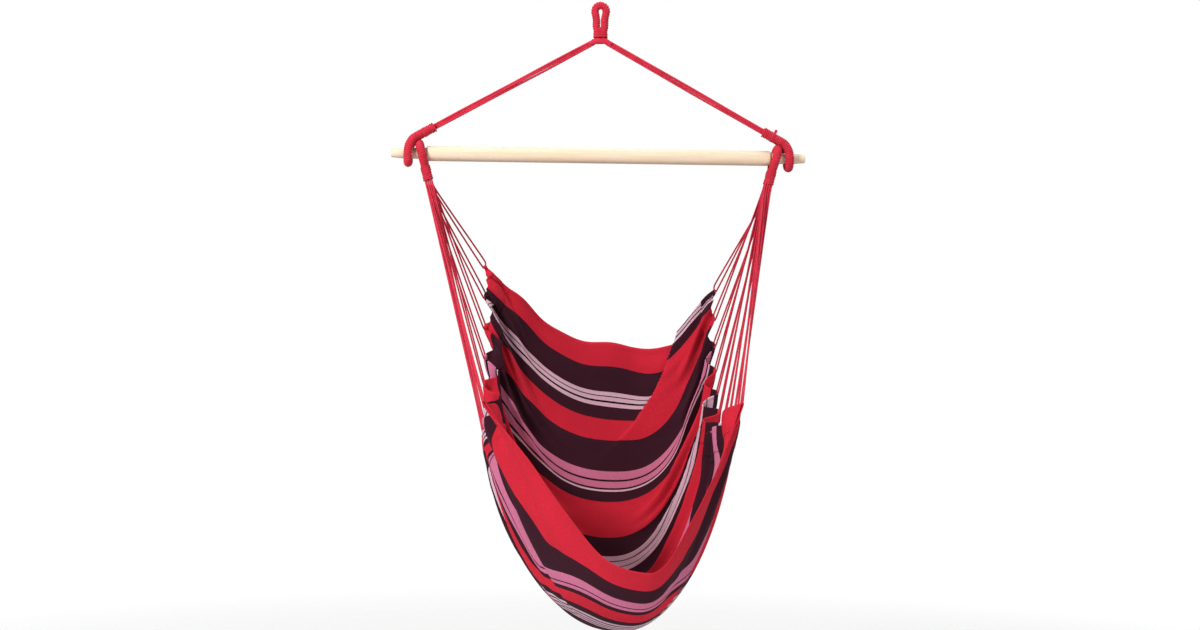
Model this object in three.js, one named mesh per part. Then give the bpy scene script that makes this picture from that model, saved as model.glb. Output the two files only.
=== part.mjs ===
// Hammock chair: a striped cotton sling hung by fans of cord from a wooden spreader bar,
// and the bar hung by two rope arms from one whipped eye.
// Millimetres, +Z up, X along the bar, -Y is the open front of the seat.
// The origin is the inner crown of the hanging eye, where a hook would bear.

import * as THREE from 'three';

const { cos, sin, PI, sign, abs, max, min, round, SQRT1_2 } = Math;

// Driving dimensions
const CLEARANCE = 0.3;

const BAR_LENGTH = 1100;
const BAR_DIAMETER = 40;
const BAR_DROP = 391;
const SPIGOT_DIAMETER = 30;
const SPIGOT_LENGTH = 93;
const SHOULDER_CHAMFER = 4;
const BAR_NECK_DIAMETER = 28;
const BAR_END_DIAMETER = 23;
const BAR_TAPER_LENGTH = 32;

const CORE_DIAMETER = 9.4;
const WRAP_DIAMETER = 4.6;
const WRAP_CIRCLE_RADIUS = 8.1;
const CORE_HALF_SPACING = 7;

const EYE_BEND_RADIUS = 15;
const EYE_LENGTH = 77.3;
const EYE_THROAT_LENGTH = 22;
const EYE_WRAP_TURNS = 18;
const THROAT_TURNS = 3;

const CROSSING_DIAMETER = 16.6;
const CROSSING_LENGTH = 28;

const ARM_CORD_DIAMETER = 5.8;
const ARM_CORD_SPACING = 6.4;
const ARM_CORDS = 3;

const HANGER_LOOP_INSET = 44;
const HANGER_BEND_RADIUS = 25;
const HANGER_BINDING_INSET = 70;
const HANGER_BINDING_RISE = 71.5;
const HANGER_BINDING_LENGTH = 37;
const HANGER_WRAP_TURNS = 22;
const HANGER_BINDING_TURNS = 5;

const SEAT_LOOP_INSET = 80;
const SEAT_BEND_RADIUS = 26.3;
const SEAT_LOOP_LENGTH = 74;
const SEAT_LOOP_LEAN = 14.4;
const SEAT_BINDING_LENGTH = 36;
const SEAT_WRAP_TURNS = 20;
const SEAT_BINDING_TURNS = 5;

const SUSPENSION_CORD_DIAMETER = 4.8;
const SUSPENSION_CORD_SPACING = 5.5;
const SUSPENSION_COLUMNS = 4;
const CORD_TURN_RADIUS = 10;
const CORD_LEAD = 9;
const TIPS = 12;

const CLOTH_THICKNESS = 3;
const CLOTH_COLUMNS = 24;
const CLOTH_OFFSET_X = 22;
const CLOTH_FORWARD = 95;
const TIP_HALF_WIDTH_FRONT = 320;
const TIP_HALF_WIDTH_BACK = 330;
const TIP_REACHES = [612, 700, 680, 479];
const TIP_FIRST_ANGLE = -23;
const TIP_LAST_ANGLE = 60.6;
const BACK_CORNER_TILT = 30;
const FOLD_DEPTH = 40;
const SCALLOP_DEPTH = 22;
const SEAT_FRONT_REACH = 440;
const SEAT_BACK_REACH = 385;
const SEAT_DROP = 1231;

// Counts of the faceted surfaces
const BAR_SIDES = 24;
const CORD_SIDES = 8;
const WRAP_SIDES = 4;
const LOOP_WRAP_STEPS = 6;
const BINDING_STEPS = 8;
const RIB_SAMPLES = 240;
const CURVE_SAMPLES = 480;
const PINCH_POINT = 2;
const KNUCKLE_CAP_STEPS = 4;
const KNUCKLE_SIDES = 12;
const ARM_CORD_STEPS = 4;
const TURN_ANGLES = [45, 90, 135];

// Shares of the sizes that they follow
const bindingInsetShare = 0.75;
const hangerLegShares = [[0.36, 0.47, 0.15], [0.68, 0.69, 0.33], [0.91, 0.91, 0.64]];
const seatLegShares = [0.82, 0.6];
const cornerTiltShares = [0.4, 1];
const frontHangShares = [0, 0.25];
const backHangShares = [0.6, 1];
const midRibShares = [-0.4, 0.4];
const foldShares = [0.1, 1];

// Derived sizes
const HANGER_LOOP_X = BAR_LENGTH / 2 - HANGER_LOOP_INSET;
const HANGER_BINDING_X = HANGER_LOOP_X - HANGER_BINDING_INSET;
const SEAT_LOOP_X = BAR_LENGTH / 2 - SEAT_LOOP_INSET;
const WRAP_OUTER_RADIUS = WRAP_CIRCLE_RADIUS + WRAP_DIAMETER / 2;
const LEG_PINCH = WRAP_OUTER_RADIUS + CLEARANCE;
const HINGE_DROP = EYE_LENGTH + CLEARANCE + CROSSING_DIAMETER / 2;
const CLOTH_ROWS = 2 * (TIPS - 1);
const X_AXIS = new THREE.Vector3(1, 0, 0);
const Y_AXIS = new THREE.Vector3(0, 1, 0);
const SIDES = { left: -1, right: 1 };

const material = (color, roughness) => new THREE.MeshStandardMaterial({ color, roughness, metalness: 0 });
const paleWood = material('#f0dcb8', 0.62);
const redCord = material('#d8384c', 0.85);
const redWrap = material('#cc3046', 0.85);
const stripedCotton = material('#b02a3c', 0.9);

const chair = new THREE.Group();

function addPiece(name, geometry, finish) {
  const piece = new THREE.Mesh(geometry, finish);
  piece.name = name;
  chair.add(piece);
}

const rise = ([from, to], value) => THREE.MathUtils.smoothstep(value, from, to);
const point = (x, y, z) => new THREE.Vector3(x, y, z);

// A curve whose even steps follow its points, so a tight bend gets as many steps as a long run.
class Route extends THREE.CatmullRomCurve3 {
  constructor(points) {
    super(points, false, 'centripetal');
  }

  getUtoTmapping(u) {
    return u;
  }
}

function signedVolume(positions, index) {
  const corner = [point(0, 0, 0), point(0, 0, 0), point(0, 0, 0)];
  let volume = 0;
  for (let i = 0; i < index.length; i += 3) {
    corner.forEach((vector, k) => vector.fromArray(positions, 3 * index[i + k]));
    volume += corner[0].dot(corner[1].cross(corner[2]));
  }
  return volume;
}

// A closed body from vertices and triangles, turned so that its faces point out.
function closedBody(vertices, index) {
  const positions = vertices.flatMap((vertex) => vertex.toArray());
  const outward = signedVolume(positions, index) > 0 ? index : [...index].reverse();
  const geometry = new THREE.BufferGeometry();
  geometry.setAttribute('position', new THREE.Float32BufferAttribute(positions, 3));
  geometry.setIndex(outward);
  geometry.computeVertexNormals();
  return geometry;
}

// A tube from rings of equal point counts, closed by a fan at each end.
function ringTube(rings) {
  const sides = rings[0].length;
  const vertices = rings.flat();
  const index = [];
  for (let r = 0; r < rings.length - 1; r += 1) {
    for (let j = 0; j < sides; j += 1) {
      const a = r * sides + j;
      const b = r * sides + ((j + 1) % sides);
      index.push(a, b, a + sides, b, b + sides, a + sides);
    }
  }
  const last = (rings.length - 1) * sides;
  for (let j = 1; j < sides - 1; j += 1) {
    index.push(0, j + 1, j, last, last + j, last + j + 1);
  }
  return closedBody(vertices, index);
}

function roundSection(diameter, sides) {
  const section = new THREE.Shape();
  for (let j = 0; j < sides; j += 1) {
    const angle = (2 * PI * j) / sides;
    const x = (diameter / 2) * cos(angle);
    const y = (diameter / 2) * sin(angle);
    if (j === 0) section.moveTo(x, y);
    else section.lineTo(x, y);
  }
  section.closePath();
  return section;
}

function cordGeometry(curve, diameter, steps) {
  const section = roundSection(diameter, CORD_SIDES);
  return new THREE.ExtrudeGeometry(section, { steps, extrudePath: curve, bevelEnabled: false });
}

// A place beside a curve: a length along it, then two offsets square to it.
function placeBeside(curve, reference, along, across, up) {
  const length = curve.getLength();
  const share = min(max(along / length, 0), 1);
  const tangent = curve.getTangentAt(share);
  const first = reference.clone().addScaledVector(tangent, -reference.dot(tangent)).normalize();
  const second = tangent.clone().cross(first);
  return curve.getPointAt(share)
    .addScaledVector(tangent, along - share * length)
    .addScaledVector(first, across)
    .addScaledVector(second, up);
}

// Least distance between points of the winding that lie more than half a turn apart.
function leastSelfGap(rings, steps) {
  const fine = [];
  for (let r = 0; r < rings.length - 1; r += 1) {
    const between = rings[r].map((vertex, j) => vertex.clone().lerp(rings[r + 1][j], 0.5));
    fine.push(rings[r], between);
  }
  let least = Infinity;
  for (let a = 0; a < fine.length; a += 1) {
    for (let b = a + steps; b < fine.length; b += 1) {
      for (const p of fine[a]) {
        for (const q of fine[b]) least = min(least, p.distanceTo(q));
      }
    }
  }
  return least;
}

// One unbroken cord wound round a core, or round two cores side by side.
// Its section narrows on the inside of a bend, and each end runs straight for one diameter.
function addWinding(name, curve, reference, winding) {
  const { start, end, turns, steps, spread } = winding;
  const radius = WRAP_DIAMETER / 2;
  const pitch = (end - start) / turns;
  const rings = [];
  const count = turns * steps;
  const ringAt = (k, straight) => {
    const angle = (2 * PI * (k + 0.5)) / steps;
    const along = start + (pitch * k) / steps;
    return Array.from({ length: WRAP_SIDES }, (_, j) => {
      const turn = (2 * PI * j) / WRAP_SIDES;
      const out = WRAP_CIRCLE_RADIUS + radius * cos(turn);
      const across = out * cos(angle) + spread * sign(cos(angle)) - straight * sin(angle);
      const up = out * sin(angle) + straight * cos(angle);
      return placeBeside(curve, reference, along + radius * sin(turn), across, up);
    });
  };
  rings.push(ringAt(0, -WRAP_DIAMETER));
  for (let k = 0; k <= count; k += 1) rings.push(ringAt(k, 0));
  rings.push(ringAt(count, WRAP_DIAMETER));
  console.log(`${name}: least gap to itself ${leastSelfGap(rings, steps).toFixed(2)} mm`);
  addPiece(name, ringTube(rings), redWrap);
}

// The whipping of a loop runs from the pinch of one leg round the bend to the pinch of the other.
function addWhipping(name, route, reference, turns) {
  const line = new THREE.CatmullRomCurve3(route.points, false, 'centripetal');
  const lengths = line.getLengths(CURVE_SAMPLES);
  const start = lengths[round((PINCH_POINT / (route.points.length - 1)) * CURVE_SAMPLES)];
  const end = line.getLength() - start;
  addWinding(name, line, reference, { start, end, turns, steps: LOOP_WRAP_STEPS, spread: 0 });
}

// The binding holds both legs of a loop together, from the rope's end to the throat's top.
function addBinding(name, ropeEnd, towards, reference, length, turns) {
  const line = new THREE.LineCurve3(ropeEnd, towards);
  const start = WRAP_DIAMETER / 2;
  const end = length - WRAP_DIAMETER * bindingInsetShare;
  addWinding(name, line, reference, { start, end, turns, steps: BINDING_STEPS, spread: CORE_HALF_SPACING });
}

// Spreader bar: thick between its shoulders, turned down to a spigot at each end.
function addBar() {
  const half = BAR_LENGTH / 2;
  const neck = half - BAR_TAPER_LENGTH;
  const shoulder = half - SPIGOT_LENGTH;
  const outline = [
    [0, half],
    [BAR_END_DIAMETER / 2, half],
    [BAR_NECK_DIAMETER / 2, neck],
    [SPIGOT_DIAMETER / 2, shoulder + SHOULDER_CHAMFER],
    [SPIGOT_DIAMETER / 2, shoulder],
    [BAR_DIAMETER / 2, shoulder - SHOULDER_CHAMFER],
  ];
  const mirrored = outline.map(([radius, x]) => [radius, -x]);
  const points = [...mirrored, ...outline.reverse()].map(([radius, x]) => new THREE.Vector2(radius, x));
  const geometry = new THREE.LatheGeometry(points, BAR_SIDES);
  geometry.rotateZ(-PI / 2);
  geometry.translate(0, 0, -BAR_DROP);
  addPiece('spreader_bar', geometry, paleWood);
}

// The centre line of a whipped loop: two legs that run together in the binding,
// part at the pinch, and go round the bend. One half is listed, from the binding to the crown.
const mirroredLoop = (half) => [...half, ...half.slice(0, -1).map(([side, down]) => [-side, down]).reverse()];

// Hanging eye: a drop-shaped loop of rope, whipped all the way, with its legs bound below.
function addEye() {
  const bendCentre = EYE_BEND_RADIUS - WRAP_OUTER_RADIUS;
  const throatTop = EYE_LENGTH - EYE_THROAT_LENGTH;
  const diagonal = EYE_BEND_RADIUS * SQRT1_2;
  const outline = mirroredLoop([
    [CORE_HALF_SPACING, EYE_LENGTH],
    [CORE_HALF_SPACING, throatTop + CORE_HALF_SPACING / 2],
    [LEG_PINCH, throatTop - CORE_HALF_SPACING],
    [(LEG_PINCH + EYE_BEND_RADIUS) / 2, (throatTop + bendCentre) / 2],
    [EYE_BEND_RADIUS, bendCentre],
    [diagonal, bendCentre - diagonal],
    [0, bendCentre - EYE_BEND_RADIUS],
  ]);
  const route = new Route(outline.map(([x, down]) => point(x, 0, -down)));
  addPiece('eye_core', cordGeometry(route, CORE_DIAMETER, 2 * (outline.length - 1)), redCord);
  addWhipping('eye_whipping', route, Y_AXIS, EYE_WRAP_TURNS);
  const ropeEnd = point(0, 0, -EYE_LENGTH);
  addBinding('eye_throat_binding', ropeEnd, point(0, 0, 0), X_AXIS, EYE_THROAT_LENGTH, THROAT_TURNS);
}

// The knuckle under the eye where the rope arms part. It is round about the swing axis.
function addCrossing() {
  const radius = CROSSING_DIAMETER / 2;
  const geometry = new THREE.CapsuleGeometry(radius, CROSSING_LENGTH, KNUCKLE_CAP_STEPS, KNUCKLE_SIDES);
  geometry.rotateZ(PI / 2);
  geometry.translate(0, 0, -HINGE_DROP);
  addPiece('arm_crossing', geometry, redCord);
}

const hangerBindingEnd = (side) => point(side * HANGER_BINDING_X, 0, HANGER_BINDING_RISE - BAR_DROP);
const crossingEnd = (side) => point(side * (CROSSING_LENGTH / 2), 0, -HINGE_DROP);

function armDirection(side) {
  return hangerBindingEnd(side).sub(crossingEnd(side)).normalize();
}

// Rope arms: cords side by side from the crossing to the binding at the bar's end.
function addArmCords(sideName) {
  const side = SIDES[sideName];
  const direction = armDirection(side);
  const beside = point(-direction.z, 0, direction.x).multiplyScalar(side);
  const from = crossingEnd(side).addScaledVector(direction, CROSSING_DIAMETER / 2 + CLEARANCE);
  const to = hangerBindingEnd(side).addScaledVector(direction, -CLEARANCE);
  for (let i = 0; i < ARM_CORDS; i += 1) {
    const offset = (i - (ARM_CORDS - 1) / 2) * ARM_CORD_SPACING;
    const line = new THREE.LineCurve3(
      from.clone().addScaledVector(beside, offset),
      to.clone().addScaledVector(beside, offset),
    );
    const geometry = cordGeometry(line, ARM_CORD_DIAMETER, ARM_CORD_STEPS);
    addPiece(`arm_cord_${sideName}_${i + 1}`, geometry, redCord);
  }
}

// Loop at the end of a rope arm: it leaves the binding, passes outside the seat loop
// and goes under the bar's spigot.
function addHangerLoop(sideName) {
  const side = SIDES[sideName];
  const top = hangerBindingEnd(side);
  const direction = armDirection(side);
  const radius = HANGER_BEND_RADIUS;
  const foot = top.clone().addScaledVector(direction, HANGER_BINDING_LENGTH);
  const bar = point(side * HANGER_LOOP_X, 0, -BAR_DROP);
  const run = bar.clone().sub(foot);
  const leg = hangerLegShares.map(([xShare, yShare, zShare]) => (
    point(foot.x + run.x * xShare, radius * yShare, foot.z + run.z * zShare)
  ));
  const there = [
    top.clone().setY(CORE_HALF_SPACING),
    foot.clone().setY(CORE_HALF_SPACING),
    ...leg,
    point(bar.x, radius, bar.z),
    point(bar.x, radius * SQRT1_2, bar.z - radius * SQRT1_2),
    point(bar.x, 0, bar.z - radius),
  ];
  const back = there.slice(0, -1).map((p) => point(p.x, -p.y, p.z)).reverse();
  const route = new Route([...there, ...back]);
  const steps = 2 * (route.points.length - 1);
  addPiece(`hanger_loop_core_${sideName}`, cordGeometry(route, CORE_DIAMETER, steps), redCord);
  addWhipping(`hanger_loop_whipping_${sideName}`, route, X_AXIS, HANGER_WRAP_TURNS);
  addBinding(`hanger_binding_${sideName}`, top, foot, Y_AXIS, HANGER_BINDING_LENGTH, HANGER_BINDING_TURNS);
}

// Loop that carries the seat: it sits over the bar's spigot and leans in towards the seat.
const leanAngle = THREE.MathUtils.degToRad(SEAT_LOOP_LEAN);
const seatDown = (side) => point(-side * sin(leanAngle), 0, -cos(leanAngle));
const seatLoopCentre = (side) => point(side * SEAT_LOOP_X, 0, -BAR_DROP);
const seatBindingEnd = (side) => seatLoopCentre(side).addScaledVector(seatDown(side), SEAT_LOOP_LENGTH);

function addSeatLoop(sideName) {
  const side = SIDES[sideName];
  const down = seatDown(side);
  const centre = seatLoopCentre(side);
  const radius = SEAT_BEND_RADIUS;
  const bindingTop = SEAT_LOOP_LENGTH - SEAT_BINDING_LENGTH;
  const outline = mirroredLoop([
    [CORE_HALF_SPACING, SEAT_LOOP_LENGTH],
    [CORE_HALF_SPACING, bindingTop],
    [LEG_PINCH + CLEARANCE, bindingTop - CORE_HALF_SPACING],
    seatLegShares.map((share) => radius * share),
    [radius, 0],
    [radius * SQRT1_2, -radius * SQRT1_2],
    [0, -radius],
  ]);
  const route = new Route(outline.map(([y, q]) => centre.clone().addScaledVector(down, q).setY(y)));
  const steps = 2 * (outline.length - 1);
  addPiece(`seat_loop_core_${sideName}`, cordGeometry(route, CORE_DIAMETER, steps), redCord);
  addWhipping(`seat_loop_whipping_${sideName}`, route, X_AXIS, SEAT_WRAP_TURNS);
  const ropeEnd = seatBindingEnd(side);
  addBinding(`seat_binding_${sideName}`, ropeEnd, centre, Y_AXIS, SEAT_BINDING_LENGTH, SEAT_BINDING_TURNS);
}

// Where the cords carry the cloth: a row of tips from the front corner (v = 0)
// down and round to the back corner (v = 1).
const tipReach = new THREE.CubicBezierCurve(
  ...TIP_REACHES.map((reach, k) => new THREE.Vector2(k, reach)),
);

function cordTip(v, side) {
  const angle = THREE.MathUtils.degToRad(THREE.MathUtils.lerp(TIP_FIRST_ANGLE, TIP_LAST_ANGLE, v));
  const reach = tipReach.getPoint(v).y;
  const halfWidth = THREE.MathUtils.lerp(TIP_HALF_WIDTH_FRONT, TIP_HALF_WIDTH_BACK, v);
  const top = seatBindingEnd(side);
  return point(
    CLOTH_OFFSET_X + side * halfWidth,
    -CLOTH_FORWARD + reach * sin(angle),
    top.z - reach * cos(angle) - side * BACK_CORNER_TILT * rise(cornerTiltShares, v),
  );
}

const cordPull = (v, side) => cordTip(v, side).sub(seatBindingEnd(side)).normalize();

function clothCorner(v, side) {
  const seat = CORD_TURN_RADIUS + (SUSPENSION_CORD_DIAMETER + CLOTH_THICKNESS) / 2 + CLEARANCE;
  return cordTip(v, side).addScaledVector(cordPull(v, side), seat);
}

// Suspension cords: each runs down to a tip of the cloth, turns there and runs back up.
// Their upper ends stand in rows under the binding, the front cords in front.
function addSuspensionCord(sideName, tip) {
  const side = SIDES[sideName];
  const down = seatDown(side);
  const across = point(-down.z, 0, down.x);
  const v = tip / (TIPS - 1);
  const step = 0.5 / (TIPS - 1);
  const edge = cordTip(min(v + step, 1), side).sub(cordTip(max(v - step, 0), side)).normalize();
  const pull = cordPull(v, side);
  edge.addScaledVector(pull, -edge.dot(pull)).normalize();
  const turn = cordTip(v, side);
  const spread = SUSPENSION_CORD_SPACING;
  const leg = (strand, hand) => {
    const row = Math.floor(strand / SUSPENSION_COLUMNS);
    const column = strand % SUSPENSION_COLUMNS;
    const rows = (2 * TIPS) / SUSPENSION_COLUMNS;
    const start = seatBindingEnd(side)
      .addScaledVector(down, CLEARANCE)
      .addScaledVector(across, (column - (SUSPENSION_COLUMNS - 1) / 2) * spread)
      .addScaledVector(Y_AXIS, (row - (rows - 1) / 2) * spread);
    const end = turn.clone().addScaledVector(edge, hand * CORD_TURN_RADIUS);
    const straight = end.clone().sub(start).normalize();
    const lead = start.clone().addScaledVector(down, CORD_LEAD);
    const bent = lead.clone().addScaledVector(down, CORD_LEAD / 2).addScaledVector(straight, CORD_LEAD);
    return [start, lead, bent, end];
  };
  const around = (degrees) => {
    const angle = THREE.MathUtils.degToRad(degrees);
    return turn.clone()
      .addScaledVector(edge, -CORD_TURN_RADIUS * cos(angle))
      .addScaledVector(pull, CORD_TURN_RADIUS * sin(angle));
  };
  const points = [...leg(2 * tip, -1), ...TURN_ANGLES.map(around), ...leg(2 * tip + 1, 1).reverse()];
  const route = new Route(points);
  const name = `cord_${sideName}_${String(tip + 1).padStart(2, '0')}`;
  addPiece(name, cordGeometry(route, SUSPENSION_CORD_DIAMETER, points.length - 1), redCord);
}

// The cloth's middle line, front hem to back hem, as shares of the reach and the drop.
const middleShares = [
  [-1, 0.852], [-0.727, 0.966], [-0.159, 1], [0.39, 0.9375], [0.714, 0.779], [0.896, 0.592], [1, 0.409],
];
const middleLine = new THREE.CatmullRomCurve3(middleShares.map(([reachShare, dropShare]) => {
  const reach = reachShare < 0 ? SEAT_FRONT_REACH : SEAT_BACK_REACH;
  return point(0, reachShare * reach, -BAR_DROP - dropShare * SEAT_DROP);
}));

// How a rib of the cloth hangs between its two tips: near the front hem it is steep on the
// right, in the belly it is full, and at the back hem it is flat in the middle.
const hangShares = {
  front: { left: 2.5, right: 1.35, power: 1, skew: 0.28 },
  belly: { left: 2.2, right: 2, power: 0.67, skew: 0.08 },
  back: { left: 3.6, right: 2.6, power: 1, skew: 0.35 },
};

function hang(v, w) {
  const front = 1 - rise(frontHangShares, v);
  const back = rise(backHangShares, v);
  const belly = 1 - front - back;
  const mix = (key) => (
    front * hangShares.front[key] + belly * hangShares.belly[key] + back * hangShares.back[key]
  );
  const skewed = w - mix('skew') * (1 - w * w);
  const fullness = THREE.MathUtils.lerp(mix('left'), mix('right'), rise(midRibShares, skewed));
  return max(1 - abs(skewed) ** fullness, 0) ** mix('power');
}

// One rib of the cloth, side to side, resampled at even lengths and trimmed at its ends.
function clothRib(v, trim) {
  const left = clothCorner(v, -1);
  const right = clothCorner(v, 1);
  const middle = middleLine.getPointAt(v);
  const samples = Array.from({ length: RIB_SAMPLES + 1 }, (_, k) => {
    const w = sin((PI / 2) * ((2 * k) / RIB_SAMPLES - 1));
    const place = left.clone().lerp(right, (w + 1) / 2);
    const share = hang(v, w);
    place.y += share * (middle.y - place.y);
    place.z += share * (middle.z - place.z);
    return place;
  });
  const lengths = [0];
  samples.slice(1).forEach((p, k) => lengths.push(lengths[k] + p.distanceTo(samples[k])));
  const total = lengths[RIB_SAMPLES];
  let k = 0;
  return Array.from({ length: CLOTH_COLUMNS + 1 }, (_, column) => {
    const wanted = trim + (column / CLOTH_COLUMNS) * (total - 2 * trim);
    while (k < RIB_SAMPLES - 1 && lengths[k + 1] < wanted) k += 1;
    return samples[k].clone().lerp(samples[k + 1], (wanted - lengths[k]) / (lengths[k + 1] - lengths[k]));
  });
}

const gridBody = (grid) => {
  const columns = grid[0].length;
  const index = [];
  for (let i = 0; i < grid.length - 1; i += 1) {
    for (let j = 0; j < columns - 1; j += 1) {
      const a = i * columns + j;
      index.push(a, a + 1, a + columns, a + 1, a + columns + 1, a + columns);
    }
  }
  return index;
};

function gridNormals(grid) {
  const sheet = new THREE.BufferGeometry().setFromPoints(grid.flat());
  sheet.setIndex(gridBody(grid));
  sheet.computeVertexNormals();
  const normals = sheet.getAttribute('normal');
  return grid.flat().map((_, k) => new THREE.Vector3().fromBufferAttribute(normals, k));
}

// Seat cloth: one sling with a fold between each two tips, drawn in at the edges
// and running out towards the middle.
function addCloth() {
  const smooth = [];
  for (let i = 0; i <= CLOTH_ROWS; i += 1) {
    smooth.push(clothRib(i / CLOTH_ROWS, i % 2 ? SCALLOP_DEPTH : 0));
  }
  const facing = gridNormals(smooth);
  const inward = facing[Math.floor(facing.length / 2)].z > 0 ? 1 : -1;
  const columns = CLOTH_COLUMNS + 1;
  const folded = smooth.map((rib, i) => rib.map((p, j) => {
    const share = i % 2 ? rise(foldShares, abs((2 * j) / CLOTH_COLUMNS - 1)) : 0;
    return p.clone().addScaledVector(facing[i * columns + j], inward * share * FOLD_DEPTH);
  }));
  const normals = gridNormals(folded);
  const half = CLOTH_THICKNESS / 2;
  const middle = folded.flat();
  const upper = middle.map((p, k) => p.clone().addScaledVector(normals[k], half));
  const lower = middle.map((p, k) => p.clone().addScaledVector(normals[k], -half));
  const count = middle.length;
  const face = gridBody(folded);
  const index = [...face];
  for (let k = 0; k < face.length; k += 3) {
    index.push(face[k] + count, face[k + 2] + count, face[k + 1] + count);
  }
  const rim = [];
  for (let j = 0; j < columns - 1; j += 1) rim.push([j, j + 1]);
  for (let i = 1; i <= CLOTH_ROWS; i += 1) rim.push([i * columns - 1, (i + 1) * columns - 1]);
  const last = CLOTH_ROWS * columns;
  for (let j = columns - 1; j > 0; j -= 1) rim.push([last + j, last + j - 1]);
  for (let i = CLOTH_ROWS; i > 0; i -= 1) rim.push([i * columns, (i - 1) * columns]);
  rim.forEach(([a, b]) => index.push(b, a, a + count, b, a + count, b + count));
  addPiece('seat_cloth', closedBody([...upper, ...lower], index), stripedCotton);
}

addBar();
addEye();
addCrossing();
for (const sideName of Object.keys(SIDES)) {
  addArmCords(sideName);
  addHangerLoop(sideName);
  addSeatLoop(sideName);
  for (let tip = 0; tip < TIPS; tip += 1) addSuspensionCord(sideName, tip);
}
addCloth();

export default chair;
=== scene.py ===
# %% [markdown]
# # A hammock chair
# A striped cotton sling hangs from a wooden spreader bar by two fans of thin cord. The bar hangs
# in two rope arms, and the arms meet below one whipped eye that goes over a hook.
# The imported model is loaded first. It is the frame that every piece below is built into.

# %% Load the frame
import math

import bmesh
import bpy
import numpy as np
from mathutils import Matrix, Quaternion, Vector


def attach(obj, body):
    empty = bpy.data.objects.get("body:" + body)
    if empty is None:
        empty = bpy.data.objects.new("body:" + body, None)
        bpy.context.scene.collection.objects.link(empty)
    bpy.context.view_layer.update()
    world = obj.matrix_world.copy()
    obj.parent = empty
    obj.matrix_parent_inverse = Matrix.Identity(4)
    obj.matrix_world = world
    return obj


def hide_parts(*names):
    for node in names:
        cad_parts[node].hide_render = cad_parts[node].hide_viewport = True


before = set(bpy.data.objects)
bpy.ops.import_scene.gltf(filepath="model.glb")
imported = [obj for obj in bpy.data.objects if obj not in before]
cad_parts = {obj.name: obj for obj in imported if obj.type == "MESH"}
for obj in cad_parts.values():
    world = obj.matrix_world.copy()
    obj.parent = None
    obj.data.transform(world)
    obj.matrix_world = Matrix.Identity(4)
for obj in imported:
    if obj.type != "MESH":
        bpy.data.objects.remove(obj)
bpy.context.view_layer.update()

# %% [markdown]
# ## The camera
# The picture was taken from about chest height and a few metres away, a little to the left of the
# middle and with the camera turned half a degree. The lens was found by laying the bar, the eye
# and the lowest point of the sling over the picture. A small upward tilt frames the chair, so the
# lens needs no shift, and views from other sides stay centred.

# %% Camera
LENS_MM = 50.88
SENSOR_MM = 36
FAR_CLIP = 60
CAMERA_PLACE = Vector((-0.2355, -4.4938, -0.897))
CAMERA_AHEAD = Vector((0.0535, 0.9986, math.tan(math.radians(1.06))))
CAMERA_ROLL = math.radians(0.5)


def add_to_scene(name, data):
    thing = bpy.data.objects.new(name, data)
    bpy.context.scene.collection.objects.link(thing)
    return thing


camera_data = bpy.data.cameras.new("camera")
camera_data.sensor_width = SENSOR_MM
camera_data.lens = LENS_MM
camera_data.clip_end = FAR_CLIP
camera = add_to_scene("camera", camera_data)
camera.rotation_mode = "QUATERNION"
camera.location = CAMERA_PLACE
aim = CAMERA_AHEAD.to_track_quat("-Z", "Y")
camera.rotation_quaternion = aim @ Quaternion((0, 0, 1), CAMERA_ROLL)
bpy.context.scene.camera = camera
print("camera", tuple(round(x, 3) for x in camera.location), "lens", LENS_MM)

# %% [markdown]
# ## Small helpers
# Rope and cloth have no sharp corners in their shape, so most changes below are eased. A straight
# blend would show a crease where it starts and ends. This one grows smoothly from 0 to 1 between
# two values, and works on a whole row of numbers at once.

# %% Helpers for shapes
X_AXIS = np.array((1.0, 0.0, 0.0))
Y_AXIS = np.array((0.0, 1.0, 0.0))
SIDES = {"left": -1, "right": 1}


def ease(low, high, value):
    share = np.clip((value - low) / (high - low), 0, 1)
    return share * share * (3 - 2 * share)


def unit(vector):
    vector = np.asarray(vector, float)
    return vector / np.linalg.norm(vector)


print("a quarter of the way eases to", float(ease(0, 1, 0.25)))

# %% [markdown]
# ### Smooth routes
# A rope's route is a smooth curve through a few known points. Bezier handles could be placed at
# each of them by hand. A centripetal Catmull-Rom curve needs none, and doesn't overshoot in tight
# bends. It is then walked in even steps, so that every tube gets rings at the same spacing.

# %% Helpers for routes
STEPS_PER_SPAN = 40


def distance_along(points):
    return np.r_[0, np.cumsum(np.linalg.norm(np.diff(points, axis=0), axis=1))]


def path_length(points):
    return float(distance_along(points)[-1])


def points_at(wanted, along, points):
    return np.column_stack([np.interp(wanted, along, points[:, k]) for k in range(3)])


def walk(points, spacing=None, count=None):
    points = np.asarray(points, float)
    along = distance_along(points)
    if count is None:
        count = max(int(round(along[-1] / spacing)), 1)
    return points_at(np.linspace(0, along[-1], count + 1), along, points)


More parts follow.
